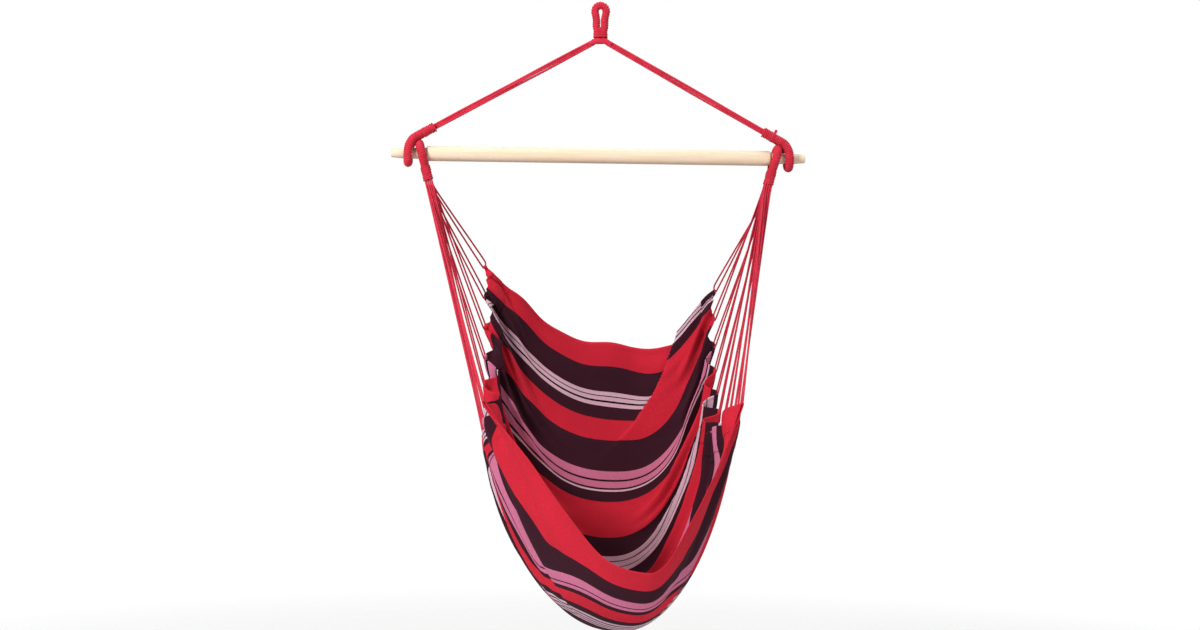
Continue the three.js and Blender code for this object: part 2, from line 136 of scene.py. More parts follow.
def smooth_route(points, spacing=None, count=None):
    p = np.asarray(points, float)
    p = np.vstack([2 * p[0] - p[1], p, 2 * p[-1] - p[-2]])
    fine = []
    for a, b, c, d in zip(p[:-3], p[1:-2], p[2:-1], p[3:]):
        gaps = [math.sqrt(np.linalg.norm(gap)) for gap in (b - a, c - b, d - c)]
        t1, t2, t3 = np.cumsum(gaps)
        t = np.linspace(t1, t2, STEPS_PER_SPAN, endpoint=False)[:, None]
        ab = ((t1 - t) * a + t * b) / t1
        bc = ((t2 - t) * b + (t - t1) * c) / (t2 - t1)
        cd = ((t3 - t) * c + (t - t2) * d) / (t3 - t2)
        abc = ((t2 - t) * ab + t * bc) / t2
        bcd = ((t3 - t) * bc + (t - t1) * cd) / (t3 - t1)
        fine.append(((t2 - t) * abc + (t - t1) * bcd) / (t2 - t1))
    return walk(np.vstack([*fine, p[-2:-1]]), spacing, count)


round_corner = smooth_route(((0, 0, 0), (1, 0, 0), (1, 1, 0)), count=20)
print("a smooth corner of 2 m is", round(path_length(round_corner), 3), "m long")

# %% [markdown]
# ## Where the ropes run
# These are the places of the ropes, in metres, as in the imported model. The bar hangs 391 mm below
# the crown of the eye, the arms come down to loops near its ends, and two more loops on the bar
# carry the fans of cord. Every piece could hold its own numbers, but a few shared functions keep
# the loops, bindings and cords joined.

# %% Places of the ropes
HALF_BAR = 0.550
BAR_DROP = 0.391
CROSSING_DROP = 0.0859
CROSSING_HALF = 0.014
HANGER_LOOP_X = HALF_BAR - 0.044
HANGER_BINDING_X = HANGER_LOOP_X - 0.070
HANGER_BINDING_RISE = 0.0715
SEAT_LOOP_X = HALF_BAR - 0.080
SEAT_LOOP_LENGTH = 0.074
SEAT_LEAN = math.radians(14.4)


def hanger_binding_end(side):
    return np.array((side * HANGER_BINDING_X, 0, HANGER_BINDING_RISE - BAR_DROP))


def crossing_end(side):
    return np.array((side * CROSSING_HALF, 0, -CROSSING_DROP))


def arm_direction(side):
    return unit(hanger_binding_end(side) - crossing_end(side))


def seat_down(side):
    return np.array((-side * math.sin(SEAT_LEAN), 0, -math.cos(SEAT_LEAN)))


def seat_loop_centre(side):
    return np.array((side * SEAT_LOOP_X, 0, -BAR_DROP))


def seat_binding_end(side):
    return seat_loop_centre(side) + seat_down(side) * SEAT_LOOP_LENGTH


print("right arm ends at", np.round(hanger_binding_end(1), 3))
print("right fan starts at", np.round(seat_binding_end(1), 3))

# %% [markdown]
# ### The row of tips
# The weight in the seat pulls every cord straight, so a fan is known once its tips are. Twelve
# places could be listed for each side. Here one rule gives them all, because a sewn edge is an
# even curve: a tip has an angle and a reach from the binding, and the reach follows a cubic
# Bezier. The right side hangs a little lower at the back.

# %% The row of tips that the cords carry
TIPS = 12
FRONT_DEGREES, BACK_DEGREES = -23, 60.6
TIP_REACHES = (0.612, 0.700, 0.680, 0.479)
FAN_SHIFT = 0.022
FAN_FORWARD = 0.095
TIP_SPREAD, BACK_SPREAD = 0.320, 0.010
BACK_LEAN = 0.030


def reach_of_tips(v):
    r, u = TIP_REACHES, 1 - v
    return r[0] * u**3 + 3 * r[1] * u * u * v + 3 * r[2] * u * v * v + r[3] * v**3


def cord_tip(v, side):
    angle = math.radians(FRONT_DEGREES + (BACK_DEGREES - FRONT_DEGREES) * v)
    reach = reach_of_tips(v)
    below = reach * math.cos(angle) + side * BACK_LEAN * ease(0.4, 1, v)
    return np.array((
        FAN_SHIFT + side * (TIP_SPREAD + BACK_SPREAD * v),
        reach * math.sin(angle) - FAN_FORWARD,
        seat_binding_end(side)[2] - below,
    ))


def cord_pull(v, side):
    return unit(cord_tip(v, side) - seat_binding_end(side))


print("front tips", np.round(cord_tip(0, -1), 3), np.round(cord_tip(0, 1), 3))

# %% [markdown]
# ## A twisted cord
# Cotton cord is three strands laid round each other. Three tubes wound in helices would need many
# faces. A curve with a three-lobed outline as its bevel object, and a tilt that grows along the
# curve, gives the same lay with few: the tilt turns the lobes. The curve is made a mesh at once,
# so each cord keeps the rings that it was measured on. An end may be thinner than the middle.

# %% A cord of three strands
OUTLINE_POINTS = 12
GROOVE_DEPTH = 0.13


def strand_outline():
    data = bpy.data.curves.new("strand_outline", "CURVE")
    spline = data.splines.new("POLY")
    spline.points.add(OUTLINE_POINTS - 1)
    for k, outline_point in enumerate(spline.points):
        angle = math.tau * k / OUTLINE_POINTS
        groove = (1 - abs(math.cos(1.5 * angle))) ** 1.5
        radius = 1 - GROOVE_DEPTH * groove
        outline_point.co = (radius * math.cos(angle), radius * math.sin(angle), 0, 1)
    spline.use_cyclic_u = True
    return add_to_scene("strand_outline", data)


def twisted_cord(name, path, radius, lay, ends=1.0):
    data = bpy.data.curves.new(name, "CURVE")
    data.dimensions = "3D"
    data.twist_mode = "MINIMUM"
    data.bevel_mode = "OBJECT"
    data.bevel_object = three_strands
    data.use_fill_caps = True
    along = distance_along(path)
    near_end = np.minimum(along, along[-1] - along) / (3 * radius)
    widths = radius * (ends + (1 - ends) * ease(0, 1, near_end))
    spline = data.splines.new("POLY")
    spline.points.add(len(path) - 1)
    spline.points.foreach_set("co", np.c_[path, np.ones(len(path))].ravel())
    spline.points.foreach_set("tilt", math.tau * along / lay)
    spline.points.foreach_set("radius", widths)
    spline.use_smooth = True
    holder = add_to_scene(name, data)
    shown = holder.evaluated_get(bpy.context.evaluated_depsgraph_get())
    mesh = bpy.data.meshes.new_from_object(shown)
    bpy.data.objects.remove(holder)
    bpy.data.curves.remove(data)
    mesh.name = name
    return add_to_scene(name, mesh)


three_strands = strand_outline()
print("strand outline of", OUTLINE_POINTS, "points")

# %% [markdown]
# ## Dyes and finishes
# Every finish on the chair is a Principled shader with a few textures before it. The nodes could
# be added one by one each time. A small class holds the steps that come back: noise, colour ramps,
# mixes, sums and bumps. A dye is written as a six-figure colour code, and turned into the linear
# values that Blender's sockets hold.

# %% Colours and a helper for node materials
BLACK, WHITE = (0, 0, 0, 1), (1, 1, 1, 1)


def dye(code):
    parts = [int(code[k:k + 2], 16) / 255 for k in (1, 3, 5)]
    return [c / 12.92 if c <= 0.04045 else ((c + 0.055) / 1.055) ** 2.4 for c in parts] + [1]


def grey(level):
    return (level, level, level, 1)


class Finish:
    def __init__(self, name, roughness, sheen=0.0, specular=0.3):
        self.material = bpy.data.materials.new(name)
        self.material.use_nodes = True
        self.nodes = self.material.node_tree.nodes
        self.links = self.material.node_tree.links
        self.shader = self.nodes["Principled BSDF"]
        self.shader.inputs["Roughness"].default_value = roughness
        self.shader.inputs["Specular IOR Level"].default_value = specular
        self.shader.inputs["Sheen Weight"].default_value = sheen
        self.shader.inputs["Sheen Roughness"].default_value = 0.5

    def node(self, kind, **settings):
        node = self.nodes.new(kind)
        for key, value in settings.items():
            if key in node.inputs:
                node.inputs[key].default_value = value
            else:
                setattr(node, key, value)
        return node

    def link(self, source, target):
        self.links.new(source, target)

    def feed(self, value, socket):
        if isinstance(value, bpy.types.NodeSocket):
            self.link(value, socket)
        else:
            socket.default_value = value

    def scaled(self, vector, scale):
        mapping = self.node("ShaderNodeMapping", Scale=scale)
        self.link(vector, mapping.inputs["Vector"])
        return mapping.outputs["Vector"]

    def place(self, scale):
        coordinates = self.node("ShaderNodeTexCoord")
        return self.scaled(coordinates.outputs["Object"], scale)

    def noise(self, vector, scale, detail=3.0, roughness=0.55):
        settings = {"Scale": scale, "Detail": detail, "Roughness": roughness}
        texture = self.node("ShaderNodeTexNoise", **settings)
        self.link(vector, texture.inputs["Vector"])
        return texture.outputs["Fac"]

    def ramp(self, source, stops, interpolation="LINEAR"):
        ramp = self.node("ShaderNodeValToRGB")
        ramp.color_ramp.interpolation = interpolation
        elements = ramp.color_ramp.elements
        elements[0].position, elements[0].color = stops[0]
        elements[1].position, elements[1].color = stops[-1]
        for position, colour in stops[1:-1]:
            elements.new(position).color = colour
        self.link(source, ramp.inputs["Fac"])
        return ramp.outputs["Color"]

    def mix(self, factor, a, b, blend="MIX"):
        mix = self.node("ShaderNodeMix", data_type="RGBA", blend_type=blend)
        for value, socket in zip((factor, a, b), (mix.inputs[0], mix.inputs[6], mix.inputs[7])):
            self.feed(value, socket)
        return mix.outputs[2]

    def maths(self, operation, a, b=0.0):
        node = self.node("ShaderNodeMath", operation=operation)
        self.feed(a, node.inputs[0])
        self.feed(b, node.inputs[1])
        return node.outputs["Value"]

    def colour(self, output):
        self.link(output, self.shader.inputs["Base Color"])

    def bump(self, height, strength, distance):
        bump = self.node("ShaderNodeBump", Strength=strength, Distance=distance)
        self.link(height, bump.inputs["Height"])
        self.link(bump.outputs["Normal"], self.shader.inputs["Normal"])


print("madder red in linear values", [round(c, 3) for c in dye("#C21D36")[:3]])

# %% [markdown]
# ## Cotton cord, as a finish
# The cord is dyed all through, so its colour hardly changes, but the fibres catch the light and
# the grooves look darker. A plain red would look like plastic. Fine noise on the Object
# coordinates varies the red and raises a little fuzz with a bump, and sheen stands for the loose
# fibres on the outside. Each piece also says here which body it rides on when the chair moves,
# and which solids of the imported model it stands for.

# %% Red cotton cord and red whipping
def cotton_cord(name, deep, bright):
    finish = Finish(name, roughness=0.82, sheen=0.08)
    place = finish.place((1, 1, 1))
    patches = finish.maths("MULTIPLY", finish.noise(place, 38, detail=2), 0.45)
    fibres = finish.noise(place, 1500, detail=4, roughness=0.7)
    tone = finish.maths("ADD", patches, finish.maths("MULTIPLY", fibres, 0.55))
    finish.colour(finish.ramp(tone, [(0.34, dye(deep)), (0.62, dye(bright))]))
    finish.bump(fibres, strength=0.5, distance=0.0006)
    return finish.material


def dress(piece, body, slot, material, *replaced):
    piece.data.materials.clear()
    piece.data.materials.append(material)
    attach(piece, body)
    if replaced:
        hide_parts(*replaced)
    return piece


cord_red = cotton_cord("cord_red", "#C21D36", "#DC2F49")
whipping_red = cotton_cord("whipping_red", "#BE1B33", "#D82C44")
print("cord finishes", cord_red.name, whipping_red.name)

# %% [markdown]
# ## The fans of cord
# A fan is what spreads the pull of the bar over the side edge of the cloth. The cords leave the
# binding in four columns, the front ones in front, and go straight to their tips, because the
# weight in the seat keeps them taut. A hanging curve would be right for slack cord only. In the
# tip a cord turns round in a half circle of 10 mm, and runs back up beside its first leg.

# %% Suspension cords
CLEAR = 0.0003
CORD_RADIUS = 0.0024
CORD_PLUMP = 1.08
CORD_LAY = 0.016
CORD_SPACING = 0.0055
CORD_COLUMNS = 4
CORD_ROWS = 2 * TIPS / CORD_COLUMNS
CORD_TURN = 0.010
CORD_LEAD = 0.009
CORD_TUCK = 0.004
TURN_STEPS = 8
CORD_STEP = 0.0026


def suspension_leg(side, strand, end):
    row, column = divmod(strand, CORD_COLUMNS)
    down = seat_down(side)
    across = np.array((-down[2], 0, down[0]))
    start = seat_binding_end(side) + down * CLEAR
    start = start + across * (column - (CORD_COLUMNS - 1) / 2) * CORD_SPACING
    start = start + Y_AXIS * (row - (CORD_ROWS - 1) / 2) * CORD_SPACING
    lead = start + down * CORD_LEAD
    bent = lead + down * CORD_LEAD / 2 + unit(end - start) * CORD_LEAD
    return [start - down * CORD_TUCK, lead, bent, end]


def suspension_route(side, tip):
    v = tip / (TIPS - 1)
    step = 0.5 / (TIPS - 1)
    edge = cord_tip(min(v + step, 1), side) - cord_tip(max(v - step, 0), side)
    pull = cord_pull(v, side)
    edge = unit(edge - pull * np.dot(edge, pull))
    turn = cord_tip(v, side)
    around = [
        turn - edge * CORD_TURN * math.cos(a) + pull * CORD_TURN * math.sin(a)
        for a in np.pi * np.arange(1, TURN_STEPS) / TURN_STEPS
    ]
    there = suspension_leg(side, 2 * tip, turn - edge * CORD_TURN)
    back = suspension_leg(side, 2 * tip + 1, turn + edge * CORD_TURN)
    return [*there, *around, *back[::-1]]


cord_lengths = []
for side_name, side in SIDES.items():
    for tip in range(TIPS):
        path = smooth_route(suspension_route(side, tip), spacing=CORD_STEP)
        cord = f"cord_{side_name}_{tip + 1:02d}"
        piece = twisted_cord(f"{cord}_laid", path, CORD_PLUMP * CORD_RADIUS, CORD_LAY)
        dress(piece, "seat", "red_cord", cord_red, cord)
        length = path_length(path)
        cord_lengths.append(length)
print("suspension cords", len(cord_lengths), "from", round(min(cord_lengths), 3), "to",
      round(max(cord_lengths), 3), "m")

# %% [markdown]
# ## The rope arms
# Each arm is three cords side by side. Straight tubes would look like rods. The real cords are
# not glued together, so they wander a little: a small wave along each path gives that, and it
# fades out at both ends, where the bindings press the cords together.

# %% Arm cords
ARM_RADIUS = 0.0033
ARM_LAY = 0.024
ARM_SPACING = 0.0057
ARM_PRESSED = 0.86
ARM_TUCK = 0.004
ARM_WANDER, ARM_BOW = 0.0005, 0.0022
ARM_STEP = 0.0032
CROSSING_RADIUS = 0.0083


def arm_route(side, place):
    direction = arm_direction(side)
    beside = np.array((-direction[2], 0, direction[0])) * side
    start = crossing_end(side) + direction * (CROSSING_RADIUS - ARM_TUCK)
    end = hanger_binding_end(side) + direction * ARM_TUCK
    share = np.linspace(0, 1, 25)
    middle = np.sin(np.pi * share)
    wave = np.sin(math.tau * (1.3 * share + 0.31 * place + 0.2 * side)) * middle
    offset = place * ARM_SPACING * (ARM_PRESSED + (1 - ARM_PRESSED) * middle)
    bow = np.cos(math.tau * share + 2.1 * place) * middle
    path = start + np.outer(share, end - start)
    path = path + np.outer(offset + ARM_WANDER * wave, beside)
    return path + np.outer(ARM_BOW * bow, Y_AXIS)


for side_name, side in SIDES.items():
    for number, place in enumerate((-1, 0, 1), start=1):
        path = smooth_route(arm_route(side, place), spacing=ARM_STEP)
        cord = f"arm_cord_{side_name}_{number}"
        piece = twisted_cord(f"{cord}_laid", path, ARM_RADIUS, ARM_LAY)
        dress(piece, "hanger", "red_cord", cord_red, cord)
print("arm cords, each", round(path_length(path), 3), "m long")

# %% [markdown]
# ## Loops of rope and their whipping
# The eye, the two loops of the arms and the two loops of the seat are all made alike: a rope is
# bent double, its two legs are bound together, and the bend is whipped with cord from leg to leg.
# One long curve could be coiled round each rope. It is quicker to start from a straight winding:
# a small oval is spun once round an axis with a step along it, and that turn is repeated.

# %% A straight winding, made by a spin
WRAP_STEPS = 28
OVAL_POINTS = 12
RIB_HALF_HEIGHT = 0.0027
SPREAD_EASE = 0.003


def straight_winding(turns, pitch, circle, spread=0.0, uneven=0.0):
    winding = bmesh.new()
    oval = bmesh.ops.create_circle(winding, segments=OVAL_POINTS, radius=1.0)["verts"]
    bmesh.ops.scale(winding, vec=(0.5 * pitch, RIB_HALF_HEIGHT, 1), verts=oval)
    bmesh.ops.translate(winding, vec=(0, circle, 0), verts=oval)
    half_step = Matrix.Rotation(math.pi / WRAP_STEPS, 3, "X")
    bmesh.ops.rotate(winding, cent=(0, 0, 0), matrix=half_step, verts=oval)
    bmesh.ops.spin(winding, geom=winding.verts[:] + winding.edges[:], cent=(0, 0, 0),
                   axis=(1, 0, 0), dvec=(pitch / WRAP_STEPS, 0, 0), angle=math.tau,
                   steps=WRAP_STEPS)
    one_turn = winding.verts[:] + winding.edges[:] + winding.faces[:]
    for turn in range(1, turns):
        copied = bmesh.ops.duplicate(winding, geom=one_turn)["geom"]
        copied_verts = [item for item in copied if isinstance(item, bmesh.types.BMVert)]
        bmesh.ops.translate(winding, vec=(turn * pitch, 0, 0), verts=copied_verts)
    bmesh.ops.remove_doubles(winding, verts=winding.verts[:], dist=0.00001)
    for vert in winding.verts:
        turn = vert.co.x / pitch
        swell = 1 + uneven * math.sin(2.3 * turn + 0.7) * math.cos(1.1 * turn)
        sway = uneven * pitch * math.sin(math.atan2(vert.co.z, vert.co.y) + 1.9 * turn)
        vert.co = (vert.co.x + sway, vert.co.y * swell, vert.co.z * swell)
        vert.co.y += math.copysign(spread * min(1, abs(vert.co.y) / SPREAD_EASE), vert.co.y)
    bmesh.ops.holes_fill(winding, edges=[edge for edge in winding.edges if edge.is_boundary])
    bmesh.ops.recalc_face_normals(winding, faces=winding.faces[:])
    return winding


print("a turn of whipping has", WRAP_STEPS * OVAL_POINTS, "faces")

# %% [markdown]
# ### From straight to bent
# The straight winding is now laid along the rope: each of its vertices keeps its distance along
# and around, and only the axis bends. A Curve modifier could do this, but it gives no say over
# where the winding starts. The turns pack on the inside of a bend and open outside, as on rope.

# %% Bend a winding onto a rope
WHIPPING_STEP, BINDING_STEP = 0.0015, 0.002


def bend_onto(winding, path, reference, start):
    along = distance_along(path)
    tangents = np.gradient(path, along, axis=0)
    straight = np.array([vert.co[:] for vert in winding.verts])
    x = start + straight[:, 0]
    inside = np.clip(x, 0, along[-1])
    tangent = points_at(inside, along, tangents)
    tangent /= np.linalg.norm(tangent, axis=1)[:, None]
    first = reference - tangent * (tangent @ reference)[:, None]
    first /= np.linalg.norm(first, axis=1)[:, None]
    second = np.cross(tangent, first)
    bent = points_at(inside, along, path) + tangent * (x - inside)[:, None]
    bent = bent + first * straight[:, 1:2] + second * straight[:, 2:3]
    for vert, place in zip(winding.verts, bent):
        vert.co = place


def mesh_from(shape, name, smooth=True):
    mesh = bpy.data.meshes.new(name)
    shape.to_mesh(mesh)
    shape.free()
    mesh.polygons.foreach_set("use_smooth", [smooth] * len(mesh.polygons))
    return mesh


def add_winding(name, winding, path, reference, start, body, node):
    bend_onto(winding, path, reference, start)
    piece = add_to_scene(name, mesh_from(winding, name))
    dress(piece, body, "red_whipping", whipping_red, node)
    print(name, len(piece.data.polygons), "faces")


def add_whipping(name, route, bare, pitch, circle, reference, body, node):
    path = smooth_route(route, spacing=WHIPPING_STEP)
    length = path_length(path) - 2 * bare
    turns = int(round(length / pitch))
    winding = straight_winding(turns, length / turns, circle, uneven=0.025)
    add_winding(name, winding, path, reference, bare, body, node)


def add_binding(name, ends, reference, length, pitch, circle, spread, body, node):
    turns = int(round(length / pitch))
    spaced = length / (turns + 0.6)
    winding = straight_winding(turns, spaced, circle, spread, uneven=0.06)
    path = walk(ends, spacing=BINDING_STEP)
    add_winding(name, winding, path, reference, 0.3 * spaced, body, node)


print("a whipping follows its rope in steps of", 1000 * WHIPPING_STEP, "mm")

# %% [markdown]
# ## The hanging eye
# The eye is a drop of rope with a narrow slit, just wide enough for a hook. Its crown bears on
# the hook at the origin of the chair. Below the slit the legs run side by side through a short
# throat binding. A ring bent to a drop would be too even, so half of the outline is given as
# points, and the other half mirrors it.

# %% Hanging eye
ROPE_RADIUS = 0.0047
ROPE_LAY = 0.034
ROPE_STEP = 0.003
ROPE_HALF_SPACING = 0.007
WRAP_OUTER = 0.0104
LEG_PINCH = WRAP_OUTER + CLEAR
DIAGONAL = math.sqrt(0.5)
EYE_BEND = 0.015
EYE_LENGTH = 0.0773
EYE_THROAT = 0.022
EYE_BARE = 0.016
EYE_PITCH, EYE_CIRCLE = 0.0052, 0.0079
THROAT_CIRCLE, THROAT_SPREAD = 0.0086, 0.0080


def mirrored(half):
    return [*half, *[(-across, down) for across, down in half[:-1]][::-1]]


def add_rope(name, route, body, node):
    rope = twisted_cord(name, smooth_route(route, spacing=ROPE_STEP), ROPE_RADIUS, ROPE_LAY)
    dress(rope, body, "red_cord", cord_red, node)


bend_centre = EYE_BEND - WRAP_OUTER
throat_top = EYE_LENGTH - EYE_THROAT
eye_outline = mirrored([
    (ROPE_HALF_SPACING, EYE_LENGTH),
    (ROPE_HALF_SPACING, throat_top + ROPE_HALF_SPACING / 2),
    (LEG_PINCH, throat_top - ROPE_HALF_SPACING),
    (0.0109, (throat_top + bend_centre) / 2),
    (0.0128, (throat_top + 3 * bend_centre) / 4),
    (EYE_BEND, bend_centre),
    (EYE_BEND * DIAGONAL, bend_centre - EYE_BEND * DIAGONAL),
    (0, bend_centre - EYE_BEND),
])
eye_route = [np.array((x, 0, -down)) for x, down in eye_outline]
add_rope("eye_rope", eye_route, "eye", "eye_core")
add_whipping("eye_winding", eye_route, EYE_BARE, EYE_PITCH, EYE_CIRCLE, Y_AXIS, "eye",
             "eye_whipping")
add_binding("throat_winding", [(0, 0, -EYE_LENGTH), (0, 0, 0)], X_AXIS, EYE_THROAT + 0.005,
            EYE_PITCH, THROAT_CIRCLE, THROAT_SPREAD, "eye", "eye_throat_binding")

# %% [markdown]
# ## The crossing
# Under the throat the cords part into the two arms. On the chair this is one thick knuckle of
# strands that bends like an arch from arm to arm. Six crossing cords would be truer, but look the
# same from a step away. One fat twisted cord that thins towards its ends is enough, and it is
# round about the axis on which the arms swing.

# %% Crossing of the arms
KNUCKLE_RADIUS = 0.0090
KNUCKLE_LAY = 0.09
KNUCKLE_REACH = 0.016
ARCH_HALF, ARCH_FOOT, ARCH_RISE = 0.006, 0.0006, 0.0018


def arch_foot(side):
    end = crossing_end(side)
    return [end + arm_direction(side) * KNUCKLE_REACH, end + np.array((0, 0, ARCH_FOOT))]


arch_top = [np.array((x, 0, ARCH_RISE - CROSSING_DROP)) for x in (-ARCH_HALF, ARCH_HALF)]
arch = smooth_route([*arch_foot(-1), *arch_top, *arch_foot(1)[::-1]], spacing=0.0012)
knuckle = twisted_cord("arm_knuckle", arch, KNUCKLE_RADIUS, KNUCKLE_LAY, ends=0.8)
dress(knuckle, "hanger", "red_cord", cord_red, "arm_crossing")
print("arch of the crossing", round(1000 * path_length(arch)), "mm long")

# %% [markdown]
# ## Loops on the bar
# The loop of an arm leaves its binding, spreads over the seat's loop and goes under the bar. It
# could be a plain ring, but a real loop is drawn out towards its binding. Three points between
# the binding and the bar give it that shape, and the way back mirrors the way there.

# %% Loops of the arms
LOOP_PITCH, LOOP_CIRCLE = 0.0047, 0.0089
HANGER_BINDING_LENGTH = 0.037
HANGER_BARE = HANGER_BINDING_LENGTH - 0.006
HANGER_BINDING_PITCH, HANGER_BINDING_CIRCLE = 0.0051, 0.0099
HANGER_BEND = 0.025
HANGER_SHARES = ((0.36, 0.47, 0.15), (0.68, 0.69, 0.33), (0.91, 0.91, 0.64))


def add_loop(body, side_name, route, bare):
    add_rope(f"{body}_rope_{side_name}", route, body, f"{body}_loop_core_{side_name}")
    add_whipping(f"{body}_loop_winding_{side_name}", route, bare, LOOP_PITCH, LOOP_CIRCLE,
                 X_AXIS, body, f"{body}_loop_whipping_{side_name}")


for side_name, side in SIDES.items():
    top = hanger_binding_end(side)
    foot = top + arm_direction(side) * HANGER_BINDING_LENGTH
    bar_point = np.array((side * HANGER_LOOP_X, 0, -BAR_DROP))
    run = bar_point - foot + Y_AXIS * HANGER_BEND
    there = [top + Y_AXIS * ROPE_HALF_SPACING, foot + Y_AXIS * ROPE_HALF_SPACING]
    there += [foot + run * np.array(shares) for shares in HANGER_SHARES]
    for y, z in ((1, 0), (DIAGONAL, -DIAGONAL), (0, -1)):
        there.append(bar_point + np.array((0, HANGER_BEND * y, HANGER_BEND * z)))
    back = [p * (1, -1, 1) for p in there[:-1]][::-1]
    add_loop("hanger", side_name, [*there, *back], HANGER_BARE)
    add_binding(f"hanger_binding_winding_{side_name}", [top, foot], Y_AXIS,
                HANGER_BINDING_LENGTH, HANGER_BINDING_PITCH, HANGER_BINDING_CIRCLE,
                ROPE_HALF_SPACING, "hanger", f"hanger_binding_{side_name}")

# %% [markdown]
# ### A cut end
# The cord that binds the right arm ends in a short cut-off stub above the loop. It could be left
# out, but such small traces show that the bindings are wound by hand. A short piece of twisted
# cord with blunt ends is enough for it.

# %% Stub at the right arm
STUB_STEPS = ((0, -0.004, 0.002), (0.003, -0.006, 0.010), (0.008, -0.006, 0.020))

stub_foot = hanger_binding_end(1) + arm_direction(1) * (HANGER_BINDING_LENGTH - 0.004)
stub_route = smooth_route([stub_foot + np.array(step) for step in STUB_STEPS], spacing=0.0012)
stub = twisted_cord("arm_stub_right", stub_route, ROPE_RADIUS, lay=0.02, ends=0.8)
dress(stub, "hanger", "red_cord", cord_red)
print("stub", round(1000 * path_length(stub_route)), "mm long")

# %% [markdown]
# ### The loops that carry the seat
# The loop of the seat sits over the bar and leans in towards the cloth. It is made as the loop
# of an arm is, but it hangs straight down in its own plane, so half of it is a flat outline like
# the eye's. Both loops share the turned-down end of the bar, against its shoulder.

# %% Loops of the seat
SEAT_BINDING_LENGTH = 0.036
SEAT_BINDING_PITCH, SEAT_BINDING_CIRCLE = 0.0050, 0.0108
SEAT_BARE = SEAT_BINDING_LENGTH - 0.008
SEAT_BEND = 0.0263

binding_top = SEAT_LOOP_LENGTH - SEAT_BINDING_LENGTH
seat_outline = mirrored([
    (ROPE_HALF_SPACING, SEAT_LOOP_LENGTH),
    (ROPE_HALF_SPACING, binding_top),
    (LEG_PINCH + CLEAR, binding_top - ROPE_HALF_SPACING),
    (SEAT_BEND * 0.82, SEAT_BEND * 0.6),
    (SEAT_BEND, 0),
    (SEAT_BEND * DIAGONAL, -SEAT_BEND * DIAGONAL),
    (0, -SEAT_BEND),
])
for side_name, side in SIDES.items():
    centre, down = seat_loop_centre(side), seat_down(side)
    add_loop("seat", side_name, [centre + down * q + Y_AXIS * y for y, q in seat_outline],
             SEAT_BARE)
    add_binding(f"seat_binding_winding_{side_name}", [seat_binding_end(side), centre], Y_AXIS,
                SEAT_BINDING_LENGTH + 0.004, SEAT_BINDING_PITCH, SEAT_BINDING_CIRCLE,
                ROPE_HALF_SPACING, "seat", f"seat_binding_{side_name}")

# %% [markdown]
# ## The spreader bar
# The bar is a turned stick of pale, unfinished wood. It is thick between its shoulders, turned
# down at both ends where the loops sit, and tapers to blunt tips. Three cylinders and two cones
# could be joined. A profile spun round the bar's axis is simpler, as on a lathe, and a bevel
# eases the corners that a lathe tool leaves.

# %% Turn the bar
BAR_PROFILE = (
    (0.0, 0.5500), (0.0103, 0.5500), (0.0114, 0.5490), (0.0140, 0.5190), (0.0149, 0.4650),
    (0.0150, 0.4585), (0.0198, 0.4545), (0.0200, 0.4400), (0.0200, 0.2200), (0.0200, 0.0),
)
BAR_STEPS = 48

profile = [(-x, r) for r, x in BAR_PROFILE] + [(x, r) for r, x in BAR_PROFILE[-2::-1]]
bar_shape = bmesh.new()
profile_verts = [bar_shape.verts.new((x, r, 0)) for x, r in profile]
profile_pairs = zip(profile_verts[:-1], profile_verts[1:])
profile_edges = [bar_shape.edges.new(pair) for pair in profile_pairs]
bmesh.ops.spin(bar_shape, geom=profile_verts + profile_edges, cent=(0, 0, 0), axis=(1, 0, 0),
               dvec=(0, 0, 0), angle=math.tau, steps=BAR_STEPS, use_merge=True)
bmesh.ops.remove_doubles(bar_shape, verts=bar_shape.verts[:], dist=0.00002)
bmesh.ops.translate(bar_shape, vec=(0, 0, -BAR_DROP), verts=bar_shape.verts[:])
bmesh.ops.recalc_face_normals(bar_shape, faces=bar_shape.faces[:])
inner_edges = [edge for edge in bar_shape.edges if len(edge.link_faces) == 2]
corners = [edge for edge in inner_edges if edge.calc_face_angle(0) > 0.5]
bmesh.ops.bevel(bar_shape, geom=corners, offset=0.0008, offset_type="OFFSET", segments=2,
                profile=0.5, affect="EDGES", material=-1)
bar = add_to_scene("turned_bar", mesh_from(bar_shape, "turned_bar"))
print("turned bar", len(bar.data.polygons), "faces")

# %% [markdown]
# ## Pale wood
# The wood is almost white, with fine pores and faint growth lines that run along the bar. A wave
# texture would draw them too evenly. Noise that is stretched along X makes both: a soft one for
# the growth lines and a thin sharp one for the pores. A few small brown flecks break it up.

# %% Wood finish
wood = Finish("pale_beech", roughness=0.55)
growth = wood.noise(wood.place((1.6, 34, 34)), 3.2, detail=5, roughness=0.6)
pores = wood.noise(wood.place((18, 700, 700)), 2.0, detail=3, roughness=0.6)
flecks = wood.noise(wood.place((26, 95, 95)), 1.0, detail=1)
growth_colours = [(0.30, dye("#E6CCAC")), (0.50, dye("#EDD6BA")), (0.68, dye("#F0DCC3"))]
plank = wood.ramp(growth, growth_colours)
in_pores = wood.ramp(pores, [(0.56, BLACK), (0.74, grey(0.3))])
plank = wood.mix(in_pores, plank, dye("#DDBE98"))
in_flecks = wood.ramp(flecks, [(0.73, BLACK), (0.79, grey(0.25))])
plank = wood.mix(in_flecks, plank, dye("#C9A078"))
wood.colour(plank)
wood.bump(pores, strength=0.25, distance=0.0004)
dress(bar, "bar", "pale_wood", wood.material, "spreader_bar")
print("wood finish with", len(wood.nodes), "nodes")

